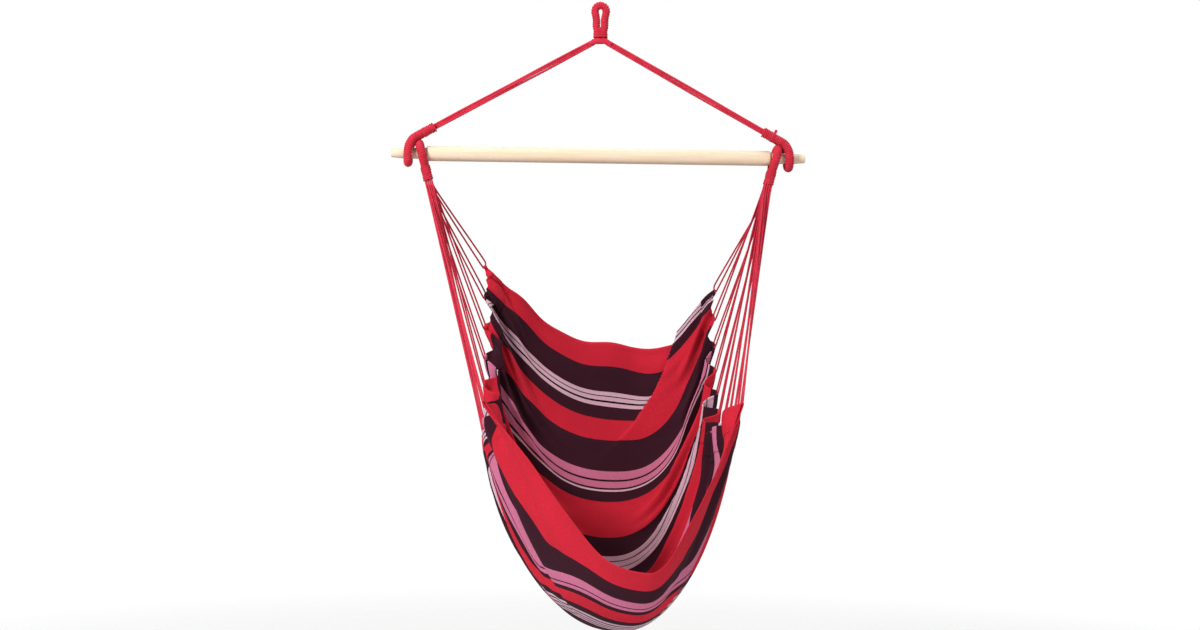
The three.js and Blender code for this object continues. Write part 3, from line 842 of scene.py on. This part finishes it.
# %% [markdown]
# ## The sling
# The cloth is one woven panel. A cloth simulation could drape it, but would not fall twice in the
# same place. It is modelled as ribs that run from side to side, one after the other from the
# front hem to the back hem. A rib starts at the tip of the left fan, hangs down to the middle line
# of the seat and climbs to the tip on the right. How full it hangs changes from front to back, in
# the way that weight in the seat shapes it.

# %% The middle line and the hang of a rib
MIDDLE_SHARES = ((-1, 0.852), (-0.727, 0.966), (-0.159, 1), (0.39, 0.9375), (0.714, 0.779),
                 (0.896, 0.592), (1, 0.409))
MIDDLE_STEPS = 1000
FRONT_REACH, BACK_REACH, SEAT_DROP = 0.440, 0.385, 1.231
RIB_STEPS = 240
EDGE_LEAD = 0.0042
# Fullness at the left, fullness at the right, power and skew.
HANG_FRONT = np.array((2.5, 1.35, 1.0, 0.28))
HANG_BELLY = np.array((2.2, 2.0, 0.67, 0.08))
HANG_BACK = np.array((3.6, 2.6, 1.0, 0.35))


def middle_point(reach, drop):
    return (0, reach * (FRONT_REACH if reach < 0 else BACK_REACH), -BAR_DROP - drop * SEAT_DROP)


def hang(v, w):
    front = 1 - ease(0, 0.25, v)
    back = ease(0.6, 1, v)
    belly = 1 - front - back
    left, right, power, skew = front * HANG_FRONT + belly * HANG_BELLY + back * HANG_BACK
    skewed = w - skew * (1 - w * w)
    fullness = left + (right - left) * ease(-0.4, 0.4, skewed)
    return np.maximum(1 - np.abs(skewed) ** fullness, 0) ** power


def rib(v):
    crests = [cord_tip(v, side) + cord_pull(v, side) * CORD_TURN for side in (-1, 1)]
    ends = [crest + cord_pull(v, side) * EDGE_LEAD for crest, side in zip(crests, (-1, 1))]
    w = np.sin(np.pi / 2 * np.linspace(-1, 1, RIB_STEPS + 1))
    line = ends[0] + np.outer((w + 1) / 2, ends[1] - ends[0])
    middle = middle_line[int(round(MIDDLE_STEPS * v))]
    line[:, 1:] += hang(v, w)[:, None] * (middle[1:] - line[:, 1:])
    return np.vstack([crests[0], line, crests[1]])


middle_line = smooth_route([middle_point(*shares) for shares in MIDDLE_SHARES],
                           count=MIDDLE_STEPS)
print("middle line", round(path_length(middle_line), 3), "m; ribs",
      [round(path_length(rib(v)), 3) for v in (0, 0.25, 1)])

# %% [markdown]
# ### Ribs side by side
# The ribs are cut into the same number of columns, which gives a grid of points for the cloth.
# Even columns would waste points in the smooth middle, so they stand closer towards the edges,
# where the folds are. Between two tips the edge is hollowed a little, as a pulled edge is.

# %% The plain surface
ROWS_PER_TIP = 18
ROWS = (TIPS - 1) * ROWS_PER_TIP
COLUMNS = 170
EVEN_COLUMNS = 0.55
TIP_SPACING = 0.086
SCALLOP = 0.009
RIDGE_HALF_WIDTH = 0.008

row_v = np.linspace(0, 1, ROWS + 1)
column_share = np.linspace(0, 1, COLUMNS + 1)
crowded = 0.5 - 0.5 * np.cos(np.pi * column_share)
column_share = EVEN_COLUMNS * column_share + (1 - EVEN_COLUMNS) * crowded
place_across = 2 * column_share - 1
phase = row_v * (TIPS - 1)
from_tip = np.abs(phase - np.round(phase)) * TIP_SPACING
trims = SCALLOP * ease(RIDGE_HALF_WIDTH, TIP_SPACING / 2, from_tip)


def sheet_normals(sheet):
    normals = np.cross(np.gradient(sheet, axis=1), np.gradient(sheet, axis=0))
    if normals[sheet.shape[0] // 2, sheet.shape[1] // 2, 2] < 0:
        normals = -normals
    return normals / np.linalg.norm(normals, axis=2)[:, :, None]


surface = np.zeros((ROWS + 1, COLUMNS + 1, 3))
edge_distance = np.zeros((ROWS + 1, COLUMNS + 1))
for i, v in enumerate(row_v):
    line = rib(v)
    along = distance_along(line)
    wanted = trims[i] + column_share * (along[-1] - 2 * trims[i])
    surface[i] = points_at(wanted, along, line)
    edge_distance[i] = np.minimum(wanted, along[-1] - wanted) - trims[i]
inward = sheet_normals(surface)
print("plain surface", surface.shape[:2])

# %% [markdown]
# ### Folds
# The cords gather the side edges: more cloth is sewn into each stretch between two tips than the
# stretch is long, so it falls inwards there in a deep fold. The folds are deepest at the edge and
# run out towards the middle, where the weight pulls the cloth smooth. A wave of one size would
# look pressed. No two folds are alike, so a seeded draw varies their depth and lean, and smaller
# pleats run beside them.

# %% Folds of one side
FLAT_LENGTH = 1.388
FOLD_DRIFT = 0.34
DRIFT_END = 0.92
SEAT_LOW = 0.33
FOLD_FULLNESS = 1.15
FOLD_LEAN = 0.10
VALLEY_SOFTNESS = 0.03
CALM = 0.75
PLEAT_ORDERS = (1.5, 2.4)

draw = np.random.default_rng(11)
fold_depths = {side: 1 + 0.14 * draw.uniform(-1, 1, TIPS - 1) for side in (-1, 1)}
fold_starts = {
    -1: np.array([0, 0, 0, 0, 0, 0, 0, 0, 0.04, 0.14, 0.32]),
    1: np.array([0, 0, 0, 0, 0, 0, 0.03, 0.10, 0.34, 0.48, 0.52]),
}
fold_leans = {side: draw.uniform(-1, 1, TIPS - 1) for side in (-1, 1)}
pleat_phases = {side: draw.uniform(0, 1, (2, TIPS - 1)) for side in (-1, 1)}


def spare_cloth(plain):
    steps = np.linalg.norm(np.diff(plain, axis=0), axis=2)
    along = np.vstack([np.zeros(plain.shape[1]), np.cumsum(steps, axis=0)])
    half = ROWS_PER_TIP // 2
    rows = np.clip(np.arange(ROWS + 1), half, ROWS - half)
    spans = along[rows + half] - along[rows - half]
    cut = FLAT_LENGTH / (TIPS - 1)
    return 0.5 * np.sqrt(np.maximum(cut**2 - spans**2, 0))


def soft_root(value):
    return np.sqrt(value**2 + VALLEY_SOFTNESS) - math.sqrt(VALLEY_SOFTNESS)


def fold_at(side, edge_share, spare):
    drift = FOLD_DRIFT * np.clip(DRIFT_END - edge_share, 0, 1)[None, :]
    from_tip_v = np.clip(SEAT_LOW + (row_v[:, None] - SEAT_LOW) * (1 + drift), 0, 1)
    fold_phase = from_tip_v * (TIPS - 1)
    interval = np.minimum(np.floor(fold_phase).astype(int), TIPS - 2)
    within = fold_phase - interval
    near = ease(0.1, 0.7, edge_share)[None, :]
    lean = fold_leans[side][interval]
    bent = np.clip(within + FOLD_LEAN * lean * np.sin(np.pi * within), 0, 1)
    valley = np.sin(np.pi * bent) ** 2
    from_ridge = np.minimum(bent, 1 - bent) * TIP_SPACING - RIDGE_HALF_WIDTH
    to_valley = 1 - np.clip(from_ridge / (TIP_SPACING / 2 - RIDGE_HALF_WIDTH), 0, 1)
    sharp = 1 - soft_root(to_valley) / soft_root(1)
    calm = (1 - ease(0.04, 0.24, row_v))[:, None] * (1 - ease(0.80, 1, edge_share))[None, :]
    if side > 0:
        back_calm = ease(0.5, 0.8, row_v)[:, None] * ease(0.55, 0.9, edge_share)[None, :]
        calm = calm + CALM * back_calm
    depth = spare * fold_depths[side][interval] * (1 - CALM * calm)
    inner = fold_starts[side][interval]
    shape = valley * (1 - near) + sharp * near
    main = FOLD_FULLNESS * depth * shape * ease(inner, inner + 0.45, edge_share[None, :])
    reach = ease(inner, inner + 0.35, edge_share[None, :])
    reach = reach * (1 - 0.6 * ease(0.6, 1, edge_share))[None, :]
    pleats = 0
    for order, start in zip(PLEAT_ORDERS, pleat_phases[side]):
        wave = np.sin(math.tau * (order * within + start[interval])) * np.sin(np.pi * within)
        pleats = pleats + 0.5 / order * depth * wave * reach
    return main + pleats, lean * main


spare = spare_cloth(surface)
print("spare cloth gives folds up to", round(1000 * spare.max(), 1), "mm deep")

# %% [markdown]
# ### Fold the surface
# Each point of the plain surface moves inwards by the depth of its fold, and a little along the
# edge where the fold leans over. The front edge turns in at the left of the middle, as a load in
# the seat rolls it. A Displace modifier could move the points, but only along one way.

# %% Press the folds in
LEAN_SHARE = 0.25
LIP_TURN = 0.016

left_folds, left_lean = fold_at(-1, np.abs(place_across), spare)
right_folds, right_lean = fold_at(1, np.abs(place_across), spare)
folds = np.where(place_across[None, :] < 0, left_folds, right_folds)
leans = np.where(place_across[None, :] < 0, left_lean, right_lean)
along_edge = np.gradient(surface, axis=0)
along_edge /= np.linalg.norm(along_edge, axis=2)[:, :, None]
surface = surface + inward * folds[:, :, None] + along_edge * LEAN_SHARE * leans[:, :, None]
lip_across = ease(-0.95, -0.6, place_across) * (1 - ease(-0.35, 0.0, place_across))
lip = (1 - ease(0.0, 0.075, row_v))[:, None] * lip_across
surface = surface + inward * LIP_TURN * lip[:, :, None]
print("folded surface, folds up to", round(1000 * folds.max(), 1), "mm")

# %% [markdown]
# ### The large pleat and the back edge
# Right of the middle of the back one large pleat lies over the rest. It is a step in the surface
# along a bent line, raised and drawn over to the left, which fades out towards the side and
# downwards. A second layer of cloth would be truer, but the step shows the same edge and shadow.
# The back edge sags before the pleat, arches after it and waves a little between.

# %% Large pleat and back edge
PLEAT_HALF_WIDTH = 0.012
PLEAT_RISE = 0.012
PLEAT_OVERLAP = 0.013
EDGE_ARCH = 0.022
EDGE_DROP = 0.020
HEM_WAVE = 0.0040

from_back = (1 - row_v)[:, None]
across = place_across[None, :]
pleat_line = 0.60 - 1.8 * from_back - 3 * from_back**2


def past_pleat_line(place):
    return ease(pleat_line - PLEAT_HALF_WIDTH, pleat_line + PLEAT_HALF_WIDTH, place[None, :])


over_pleat = past_pleat_line(place_across)
pleat_rise = over_pleat * (1 - ease(pleat_line, pleat_line + 0.4, across))
pleat_rise *= ease(0.72, 0.90, row_v)[:, None]
surface = surface + (inward * PLEAT_RISE - X_AXIS * PLEAT_OVERLAP) * pleat_rise[:, :, None]
before_pleat = (1 - over_pleat) * ease(pleat_line - 0.35, pleat_line, across)
past_share = np.clip((across - pleat_line) / (1 - pleat_line), 0, 1)
after_pleat = over_pleat * np.sin(np.pi * past_share**1.4)
hem_wave = np.sin(9.5 * place_across + 1.3) + 0.6 * np.sin(17 * place_across)
hem_wave = hem_wave * (1 - ease(0.7, 0.9, np.abs(place_across)))
hem_wave = hem_wave[None, :] * (1 - over_pleat) * ease(0.86, 1, row_v)[:, None]
surface = surface + inward * 1.6 * HEM_WAVE * hem_wave[:, :, None]
arching = EDGE_ARCH * after_pleat - EDGE_DROP * before_pleat
surface[:, :, 2] += HEM_WAVE * hem_wave + arching * ease(0.78, 1.0, row_v)[:, None]
print("pleat raised on", int((pleat_rise > 0.5).sum()), "points")

# %% [markdown]
# ### Long soft creases
# Between the deep folds and the smooth middle, the pull of each tip draws long shallow creases
# into the cloth. A noise texture has no direction. A sum of waves that are long from side to side
# and short from front to back pushes the surface in and out by a few millimetres.

# %% Creases
CREASE_DEPTH = 0.0042
CREASE_WAVES = 14


def creases(v, w, seed):
    generator = np.random.default_rng(seed)
    total = np.zeros(np.broadcast(v, w).shape)
    for _ in range(CREASE_WAVES):
        number = generator.uniform(5, 26)
        bend = generator.uniform(-1.2, 1.2)
        start = generator.uniform(0, 1)
        reach = generator.uniform(-1, 1)
        window = np.exp(-((w - reach) / generator.uniform(0.25, 0.6)) ** 2)
        wave = np.sin(math.tau * (number * v + bend * w + start))
        total = total + wave * window / math.sqrt(number)
    return total


out_to_side = np.abs(place_across)
crease_depth = CREASE_DEPTH * creases(row_v[:, None], across, seed=5)
crease_depth *= (0.35 + 0.65 * ease(0.1, 0.7, out_to_side))[None, :]
at_tips = np.exp(-(from_tip / 0.02) ** 2)[:, None] * ease(0.7, 1, out_to_side)[None, :]
crease_depth *= 1 - 0.85 * at_tips
surface = surface + inward * crease_depth[:, :, None]
print("creases up to", round(1000 * np.abs(crease_depth).max(), 1), "mm")

# %% [markdown]
# ### The casing along each side
# The side edge is turned over the bends of the cords and stitched down 66 mm below, which makes
# the casing that the cords pull on. Two separate strips could be laid on the sling. The grid goes
# over the edge instead, as the cloth does: out to the edge on the outside of the seat, round a
# small half circle, and back down on the inside.

# %% Fold the edge over the cords
FLAT_WIDTH = 1.300
CASING = 0.066
CASING_STEPS = 11
CREST_STEPS = 5
CASING_GAP, CORD_BULGE, BULGE_REACH = 0.0013, 0.0022, 0.013
EDGE_COLUMNS = 40

half_gap = CASING_GAP + CORD_BULGE * np.exp(-(from_tip / BULGE_REACH) ** 2)
normal = sheet_normals(surface)
outer_share = 1 - ease(0.035, 0.080, edge_distance)
outer = surface - normal * (half_gap[:, None] * outer_share)[:, :, None]


def casing_columns(side):
    inwards = slice(None, EDGE_COLUMNS) if side < 0 else slice(None, -EDGE_COLUMNS - 1, -1)
    line, line_normal = surface[:, inwards], normal[:, inwards]
    distance = edge_distance[:, inwards]
    out = line[:, 0] - line[:, 2]
    out = out / np.linalg.norm(out, axis=1)[:, None]
    columns = []
    for angle in np.pi * np.arange(1, CREST_STEPS + 1) / (CREST_STEPS + 1):
        reach = half_gap[:, None] * (out * math.sin(angle) - line_normal[:, 0] * math.cos(angle))
        columns.append((line[:, 0] + reach, 0.0))
    for share in np.linspace(0, 1, CASING_STEPS + 1):
        depth = CASING * share
        gaps = half_gap * (1 - 0.45 * ease(0.6, 1, share))
        column = [
            points_at([depth], distance[i], line[i])[0]
            + unit(points_at([depth], distance[i], line_normal[i])[0]) * gap
            for i, gap in enumerate(gaps)
        ]
        columns.append((np.array(column), depth))
    return columns


left_casing = casing_columns(-1)[::-1]
right_casing = casing_columns(1)
grid = np.stack([
    *(column for column, _ in left_casing),
    *outer.transpose(1, 0, 2),
    *(column for column, _ in right_casing),
], axis=1)
flat_u = np.r_[
    [-depth for _, depth in left_casing],
    column_share * FLAT_WIDTH,
    [FLAT_WIDTH + depth for _, depth in right_casing],
]
print("cloth grid", grid.shape[:2])

# %% [markdown]
# ### How the stripes slip
# A seat that carries weight is pulled askew: past the large pleat and on the flanks of the front
# the stripes no longer run level from side to side. Bending the surface for it would spoil its
# shape. It is the flat map that slips here, by a smooth amount for every point of the grid, and
# the weave and the stripes go with it. An edge that is turned over slips with what it lies on.

# %% Slip of the cloth
SLIP = 0.090
FLAP = 0.150
TIP_SLIP = 0.022
FRONT_SLIP = 0.120
RIGHT_FLANK = 0.75
FRONT_TURN = 0.012

lies_on_u = np.where(flat_u > FLAT_WIDTH, 2 * FLAT_WIDTH - flat_u, np.abs(flat_u))
grid_across = 2 * lies_on_u / FLAT_WIDTH - 1
past_pleat = past_pleat_line(grid_across)
by_pleat = ease(0.70, 0.86, row_v)[:, None]
right_part = ease(0.25, 0.95, grid_across)[None, :] * (1 - by_pleat + by_pleat * past_pleat)
to_flap = ease(0.80, 0.97, row_v)[:, None]
at_tip = ease(0.95, 1.0, row_v)[:, None] * ease(0.70, 0.95, grid_across)[None, :]
slipped = SLIP * ease(0.12, 0.50, row_v)[:, None] * right_part * (1 - to_flap)
slipped = slipped + FLAP * to_flap * past_pleat - TIP_SLIP * at_tip
flanks = ease(-1.02, -0.85, grid_across) * (1 - ease(-0.45, -0.10, grid_across))
flanks = flanks + RIGHT_FLANK * ease(0.10, 0.45, grid_across)
front_fade = np.minimum(row_v / 0.17, 1) * (1 - ease(0.20, 0.70, row_v))
slipped = slipped + FRONT_SLIP * front_fade[:, None] * flanks[None, :]
front_middle = (1 - ease(0.3, 0.8, np.abs(grid_across)))[None, :]
slipped = slipped - FRONT_TURN * (1 - ease(0.0, 0.30, row_v))[:, None] * front_middle
print("stripes slip by", round(1000 * slipped.min()), "to", round(1000 * slipped.max()), "mm")

# %% [markdown]
# ### Hems at the front and the back
# The two free edges have a narrow hem. The front hem is turned to the inside. At the back it is
# turned to the outside, and right of the pleat a wider strip folds over with it, so that the
# red border disappears behind the cloth there and the next stripes run up to the edge. Narrow
# strips could be laid on, but no edge of theirs would join the cloth. More rows are added to the
# grid instead, just as the casings are more columns.

# %% Turn the hems
HEM = 0.022
HEM_SHARES = (0.0, 0.25, 0.55, 0.8, 1.0)
HEM_GAP, FLAP_GAP = 0.0013, 0.015

half_window = ROWS_PER_TIP // 2
before, after = grid[:1].repeat(half_window, 0), grid[-1:].repeat(half_window, 0)
padded = np.concatenate([before, grid, after])
window = range(2 * half_window + 1)
evened = sum(padded[k:k + ROWS + 1] for k in window) / len(window)
facing = sheet_normals(evened)


def hem_rows(first, step, inwards, lengths):
    out = grid[first] - grid[first + step]
    out = out / np.linalg.norm(out, axis=1)[:, None]
    gaps = HEM_GAP + FLAP_GAP * (lengths - HEM)
    rows = [grid[first] + (out + inwards * facing[first]) * gaps[:, None] / 2]
    for share in HEM_SHARES:
        row = np.empty_like(grid[first])
        for j, length in enumerate(lengths):
            place = share * length / FLAT_LENGTH * ROWS
            low = int(place)
            a, b = first + step * low, first + step * (low + 1)
            row[j] = grid[a, j] + (grid[b, j] - grid[a, j]) * (place - low)
            row[j] += inwards * facing[a, j] * gaps[j] * (1 + share)
        rows.append(row)
    return rows


hem_lengths = np.full(len(flat_u), HEM)
flap = slipped[-1] * (1 - ease(0.74, 0.88, grid_across))
flap_lengths = np.maximum(hem_lengths, flap)
front_hem = hem_rows(0, 1, 1, hem_lengths)
back_hem = hem_rows(ROWS, -1, -1, flap_lengths)
cloth_grid = np.stack(front_hem[::-1] + list(grid) + back_hem)
cut_rows = row_v[:, None] * FLAT_LENGTH - slipped
hem_depths = np.r_[0, HEM_SHARES]
flat_v = np.vstack([
    -np.outer(hem_depths[::-1], hem_lengths),
    cut_rows,
    cut_rows[-1] + np.outer(hem_depths, flap_lengths),
])
print("widest turned strip", round(1000 * flap_lengths.max()), "mm")

# %% [markdown]
# ### From grid to cloth
# A grid operator gives the faces, and each of its vertices is moved to its place in the sling.
# The UV map is the cut cloth laid flat, in metres, so that stripes and weave follow the fabric
# through every fold. An unwrap would find its own layout, with no straight stripes in it.
# Solidify gives the sheet the thickness of heavy cotton.

# %% Build the cloth
CLOTH_THICKNESS = 0.0011

last_row, last_column = cloth_grid.shape[0] - 1, cloth_grid.shape[1] - 1
cloth_shape = bmesh.new()
bmesh.ops.create_grid(cloth_shape, x_segments=last_column, y_segments=last_row, size=1)
flat_map = cloth_shape.loops.layers.uv.new("flat_cloth")
cloth_places = {}
for vert in cloth_shape.verts:
    i = int(round((vert.co.y + 1) / 2 * last_row))
    j = int(round((vert.co.x + 1) / 2 * last_column))
    cloth_places[vert.index] = (i, j)
    vert.co = cloth_grid[i, j]
for face in cloth_shape.faces:
    for loop in face.loops:
        i, j = cloth_places[loop.vert.index]
        loop[flat_map].uv = (flat_u[j], flat_v[i, j])
cloth_shape.normal_update()
seat_middle = Vector(middle_line[MIDDLE_STEPS // 2])
centre_face = min(cloth_shape.faces, key=lambda f: (f.calc_center_median() - seat_middle).length)
if centre_face.normal.z > 0:
    bmesh.ops.reverse_faces(cloth_shape, faces=cloth_shape.faces[:])
cloth_area = sum(face.calc_area() for face in cloth_shape.faces)
cloth = add_to_scene("striped_sling", mesh_from(cloth_shape, "striped_sling"))
thickness = cloth.modifiers.new("thickness", "SOLIDIFY")
thickness.thickness = CLOTH_THICKNESS
thickness.offset = 0
print("cloth", len(cloth.data.polygons), "faces, area", round(cloth_area, 3), "square metres")

# %% [markdown]
# ## Striped cotton
# The stripes are woven in, so they run dead straight in the cut cloth, from side to side of the
# chair. They could be separate strips with a finish each, but then they would not share one
# weave. They are listed from the front hem to the back hem, each with its width in millimetres.

# %% Stripes, front to back
RED, PLUM, PINK, PALE, INK = "#DD2A3E", "#391A27", "#DB7C9F", "#EAC2D2", "#150A10"
narrow_pink = [(PINK, 20), (INK, 4), (PINK, 8)]
wide_pink = [(PINK, 25), (INK, 5), (PINK, 18), (PLUM, 5), (PALE, 7)]
front_pale = [(PALE, 9), (INK, 4), (PALE, 9), (PLUM, 6), (PALE, 8), (INK, 4), (PALE, 9)]
middle_pale = [(PALE, 13), (INK, 5), (PALE, 14), (INK, 5), (PALE, 13)]
back_pale = [(PALE, 11), (INK, 4), (PALE, 11), (INK, 4), (PALE, 11)]
stripes = [
    (RED, 70), (PLUM, 36), *narrow_pink, (PLUM, 9), (RED, 36), (PLUM, 22), *front_pale,
    (PLUM, 60), (RED, 94), (PLUM, 45), *wide_pink, (PLUM, 40), (RED, 110), (PLUM, 56),
    *middle_pale, (PLUM, 56), (RED, 105), (PLUM, 30), *wide_pink[::-1], (PLUM, 90),
    (RED, 63), (PLUM, 35), *back_pale, (PLUM, 70), (RED, 69),
]
stripe_total = sum(width for _, width in stripes)
print("stripes", len(stripes), "over", stripe_total, "mm")

# %% [markdown]
# ### Stripes, threads and wash
# Two colour ramps with hard steps hold the stripes, because one ramp takes at most 32 colours.
# They read the UV map's length. Flat colour would look printed, so thin noise along the threads
# darkens single yarns, a second one across them lets a little red of the cross threads through,
# and a broad one fades the cloth unevenly, as washing does.

# %% Cotton finish
cotton = Finish("striped_cotton_weave", roughness=0.9, sheen=0.01, specular=0.1)
flat = cotton.node("ShaderNodeUVMap", uv_map="flat_cloth").outputs["UV"]
parts = cotton.node("ShaderNodeSeparateXYZ")
cotton.link(flat, parts.inputs["Vector"])
stripe_share = cotton.maths("DIVIDE", parts.outputs["Y"], FLAT_LENGTH)


def stripe_ramp(low, high):
    stops, at = [], 0
    for colour, width in stripes:
        start, end = at / stripe_total, (at + width) / stripe_total
        at += width
        if end > low and start < high:
            stops.append((max((start - low) / (high - low), 0), dye(colour)))
    from_low = cotton.maths("SUBTRACT", stripe_share, low)
    local = cotton.maths("DIVIDE", from_low, high - low)
    return cotton.ramp(local, stops, "CONSTANT")


def on_cloth(scale, detail, roughness):
    return cotton.noise(cotton.scaled(flat, scale), 1.0, detail, roughness)


halves = cotton.maths("GREATER_THAN", stripe_share, 0.5)
stripe_colour = cotton.mix(halves, stripe_ramp(0.0, 0.5), stripe_ramp(0.5, 1.0))
threads = on_cloth((110, 1500, 1), 2, 0.5)
cross_threads = on_cloth((1100, 160, 1), 2, 0.5)
washed = on_cloth((5, 9, 1), 3, 0.55)
yarn = cotton.ramp(threads, [(0.38, grey(0.78)), (0.62, WHITE)])
colour = cotton.mix(1.0, stripe_colour, yarn, "MULTIPLY")
cross = cotton.ramp(cross_threads, [(0.46, BLACK), (0.80, grey(0.10))])
colour = cotton.mix(cross, colour, dye("#A8243A"))
worn = cotton.ramp(washed, [(0.3, grey(0.88)), (0.7, WHITE)])
cotton.colour(cotton.mix(1.0, colour, worn, "MULTIPLY"))
print("cotton finish with", len(cotton.nodes), "nodes")

# %% [markdown]
# ### Weave
# Warp and weft cross every 1.6 mm. Real threads would be hundreds of thousands of tubes, and
# even from close by they only shade the surface, so the weave is a bump: two sine waves that are
# multiplied make the small cushions of a plain weave. The cloth is also put on the seat here, in
# place of the imported cloth.

# %% Weave, as a bump
WEAVE_PITCH = 0.0016


def thread_wave(coordinate):
    turns = cotton.maths("MULTIPLY", coordinate, math.tau / WEAVE_PITCH)
    return cotton.maths("SINE", turns)


cushions = cotton.maths("MULTIPLY", thread_wave(parts.outputs["X"]),
                        thread_wave(parts.outputs["Y"]))
weave = cotton.maths("ADD", cushions, cotton.maths("MULTIPLY", threads, 1.4))
cotton.bump(weave, strength=0.35, distance=0.0004)
dress(cloth, "seat", "striped_cotton", cotton.material, "seat_cloth")
print("weave with threads", 1000 * WEAVE_PITCH, "mm apart")

# %% [markdown]
# ## Stitching
# A row of thread holds each casing and each hem. It could be a texture, but a row of stitches
# shows in outline when the light comes from the side. A seam is one thin thread that goes over
# and under the cloth in long stitches, so only the upper half of each stitch shows.

# %% Seams
STITCH_LENGTH = 0.0052
THREAD_LAY = 0.004
CASING_THREAD, HEM_THREAD = 0.00055, 0.0005
SEAM_DEPTH = 0.060
BACK_SEAM_END = int(0.68 * COLUMNS)
stitch_finish = cotton_cord("stitch_thread", "#8E1428", "#B02238")


def add_seam(name, line, out, width):
    dense = walk(line, spacing=STITCH_LENGTH / 8)
    along = distance_along(line)
    wanted = np.linspace(0, along[-1], len(dense))
    lift = points_at(wanted, along, out)
    over_under = np.clip(1.6 * np.sin(math.tau * wanted / STITCH_LENGTH), -1.4, 0.7)
    height = CLOTH_THICKNESS / 2 + width * over_under
    piece = twisted_cord(name, dense + lift * height[:, None], width, THREAD_LAY)
    dress(piece, "seat", "striped_cotton", stitch_finish)
    print(name, round(path_length(line), 3), "m")


seam_column = int(np.argmin(np.abs(edge_distance[0, :COLUMNS // 2] - SEAM_DEPTH)))
for side_name, column in (("left", seam_column), ("right", COLUMNS - seam_column)):
    add_seam(f"casing_seam_{side_name}", outer[:, column], -normal[:, column], CASING_THREAD)
for hem_name, row, end in (("front", 2, -4), ("back", ROWS - 2, BACK_SEAM_END)):
    add_seam(f"{hem_name}_hem_seam", surface[row, 4:end], normal[row, 4:end], HEM_THREAD)
bpy.data.objects.remove(three_strands)

# %% [markdown]
# ## Stage
# The chair hangs over a plain pale floor. A floor with an edge or a horizon would draw the eye,
# so its finish fades to clear a little way off. It glows slightly for the camera only, which
# keeps it pale without lighting the chair.

# %% Floor
FLOOR_HALF_SIZE = 9
FLOOR_DROP = 2.05
FADE_REACH = 4.0
CAMERA_GLOW = 0.30

floor_shape = bmesh.new()
bmesh.ops.create_grid(floor_shape, x_segments=1, y_segments=1, size=FLOOR_HALF_SIZE)
bmesh.ops.translate(floor_shape, vec=(0, 0, -FLOOR_DROP), verts=floor_shape.verts[:])
floor = add_to_scene("floor", mesh_from(floor_shape, "floor", smooth=False))
ground = Finish("pale_floor", roughness=0.9)
ground.shader.inputs["Base Color"].default_value = grey(0.88)
ground.shader.inputs["Emission Color"].default_value = WHITE
ground_rays = ground.node("ShaderNodeLightPath")
glow = ground.maths("MULTIPLY", ground_rays.outputs["Is Camera Ray"], CAMERA_GLOW)
ground.link(glow, ground.shader.inputs["Emission Strength"])
distance = ground.node("ShaderNodeVectorMath", operation="LENGTH")
ground.link(ground.place((1, 1, 0)), distance.inputs[0])
far_share = ground.maths("DIVIDE", distance.outputs["Value"], FADE_REACH)
fade = ground.ramp(far_share, [(0.3, BLACK), (0.9, WHITE)])
clear = ground.node("ShaderNodeBsdfTransparent")
blend = ground.node("ShaderNodeMixShader")
ground.link(fade, blend.inputs[0])
ground.link(ground.shader.outputs["BSDF"], blend.inputs[1])
ground.link(clear.outputs["BSDF"], blend.inputs[2])
ground.link(blend.outputs["Shader"], ground.nodes["Material Output"].inputs["Surface"])
floor.data.materials.append(ground.material)
print("floor", FLOOR_DROP, "m below the hook")

# %% [markdown]
# ## Light
# A studio has large soft lamps and white walls. A bright world would wash out the folds, so the
# world is dim for the chair and white only for what the camera sees, directly or in a
# reflection. Three large lamps do the lighting: the key from the left, a fill and one above.

# %% World and lamps
SKY_ON_CHAIR = 0.20

world = bpy.data.worlds.new("studio")
bpy.context.scene.world = world
world.use_nodes = True
sky = world.node_tree
backdrop = sky.nodes["Background"]
rays = sky.nodes.new("ShaderNodeLightPath")


def either(first, second):
    node = sky.nodes.new("ShaderNodeMath")
    node.operation = "MAXIMUM"
    sky.links.new(first, node.inputs[0])
    sky.links.new(second, node.inputs[1])
    return node.outputs[0]


def soft_lamp(name, place, size, watts):
    data = bpy.data.lights.new(name, "AREA")
    data.shape = "SQUARE"
    data.size = size
    data.energy = watts
    lamp = add_to_scene(name, data)
    lamp.location = place
    aim = Vector((0, 0, -1.0)) - Vector(place)
    lamp.rotation_euler = aim.to_track_quat("-Z", "Y").to_euler()


seen = either(rays.outputs["Is Camera Ray"], rays.outputs["Is Glossy Ray"])
seen = either(seen, rays.outputs["Is Transmission Ray"])
level = sky.nodes.new("ShaderNodeMapRange")
level.inputs["To Min"].default_value = SKY_ON_CHAIR
level.inputs["To Max"].default_value = 1.0
sky.links.new(seen, level.inputs["Value"])
sky.links.new(level.outputs["Result"], backdrop.inputs["Strength"])
backdrop.inputs["Color"].default_value = WHITE
soft_lamp("key", (-2.9, -2.9, 1.0), 1.0, 182)
soft_lamp("fill", (2.4, -3.4, 0.2), 1.6, 50)
soft_lamp("top", (0.4, 0.4, 2.4), 1.6, 55)
bpy.context.scene.view_settings.view_transform = "Standard"
print("lamps", [light.name for light in bpy.data.lights])
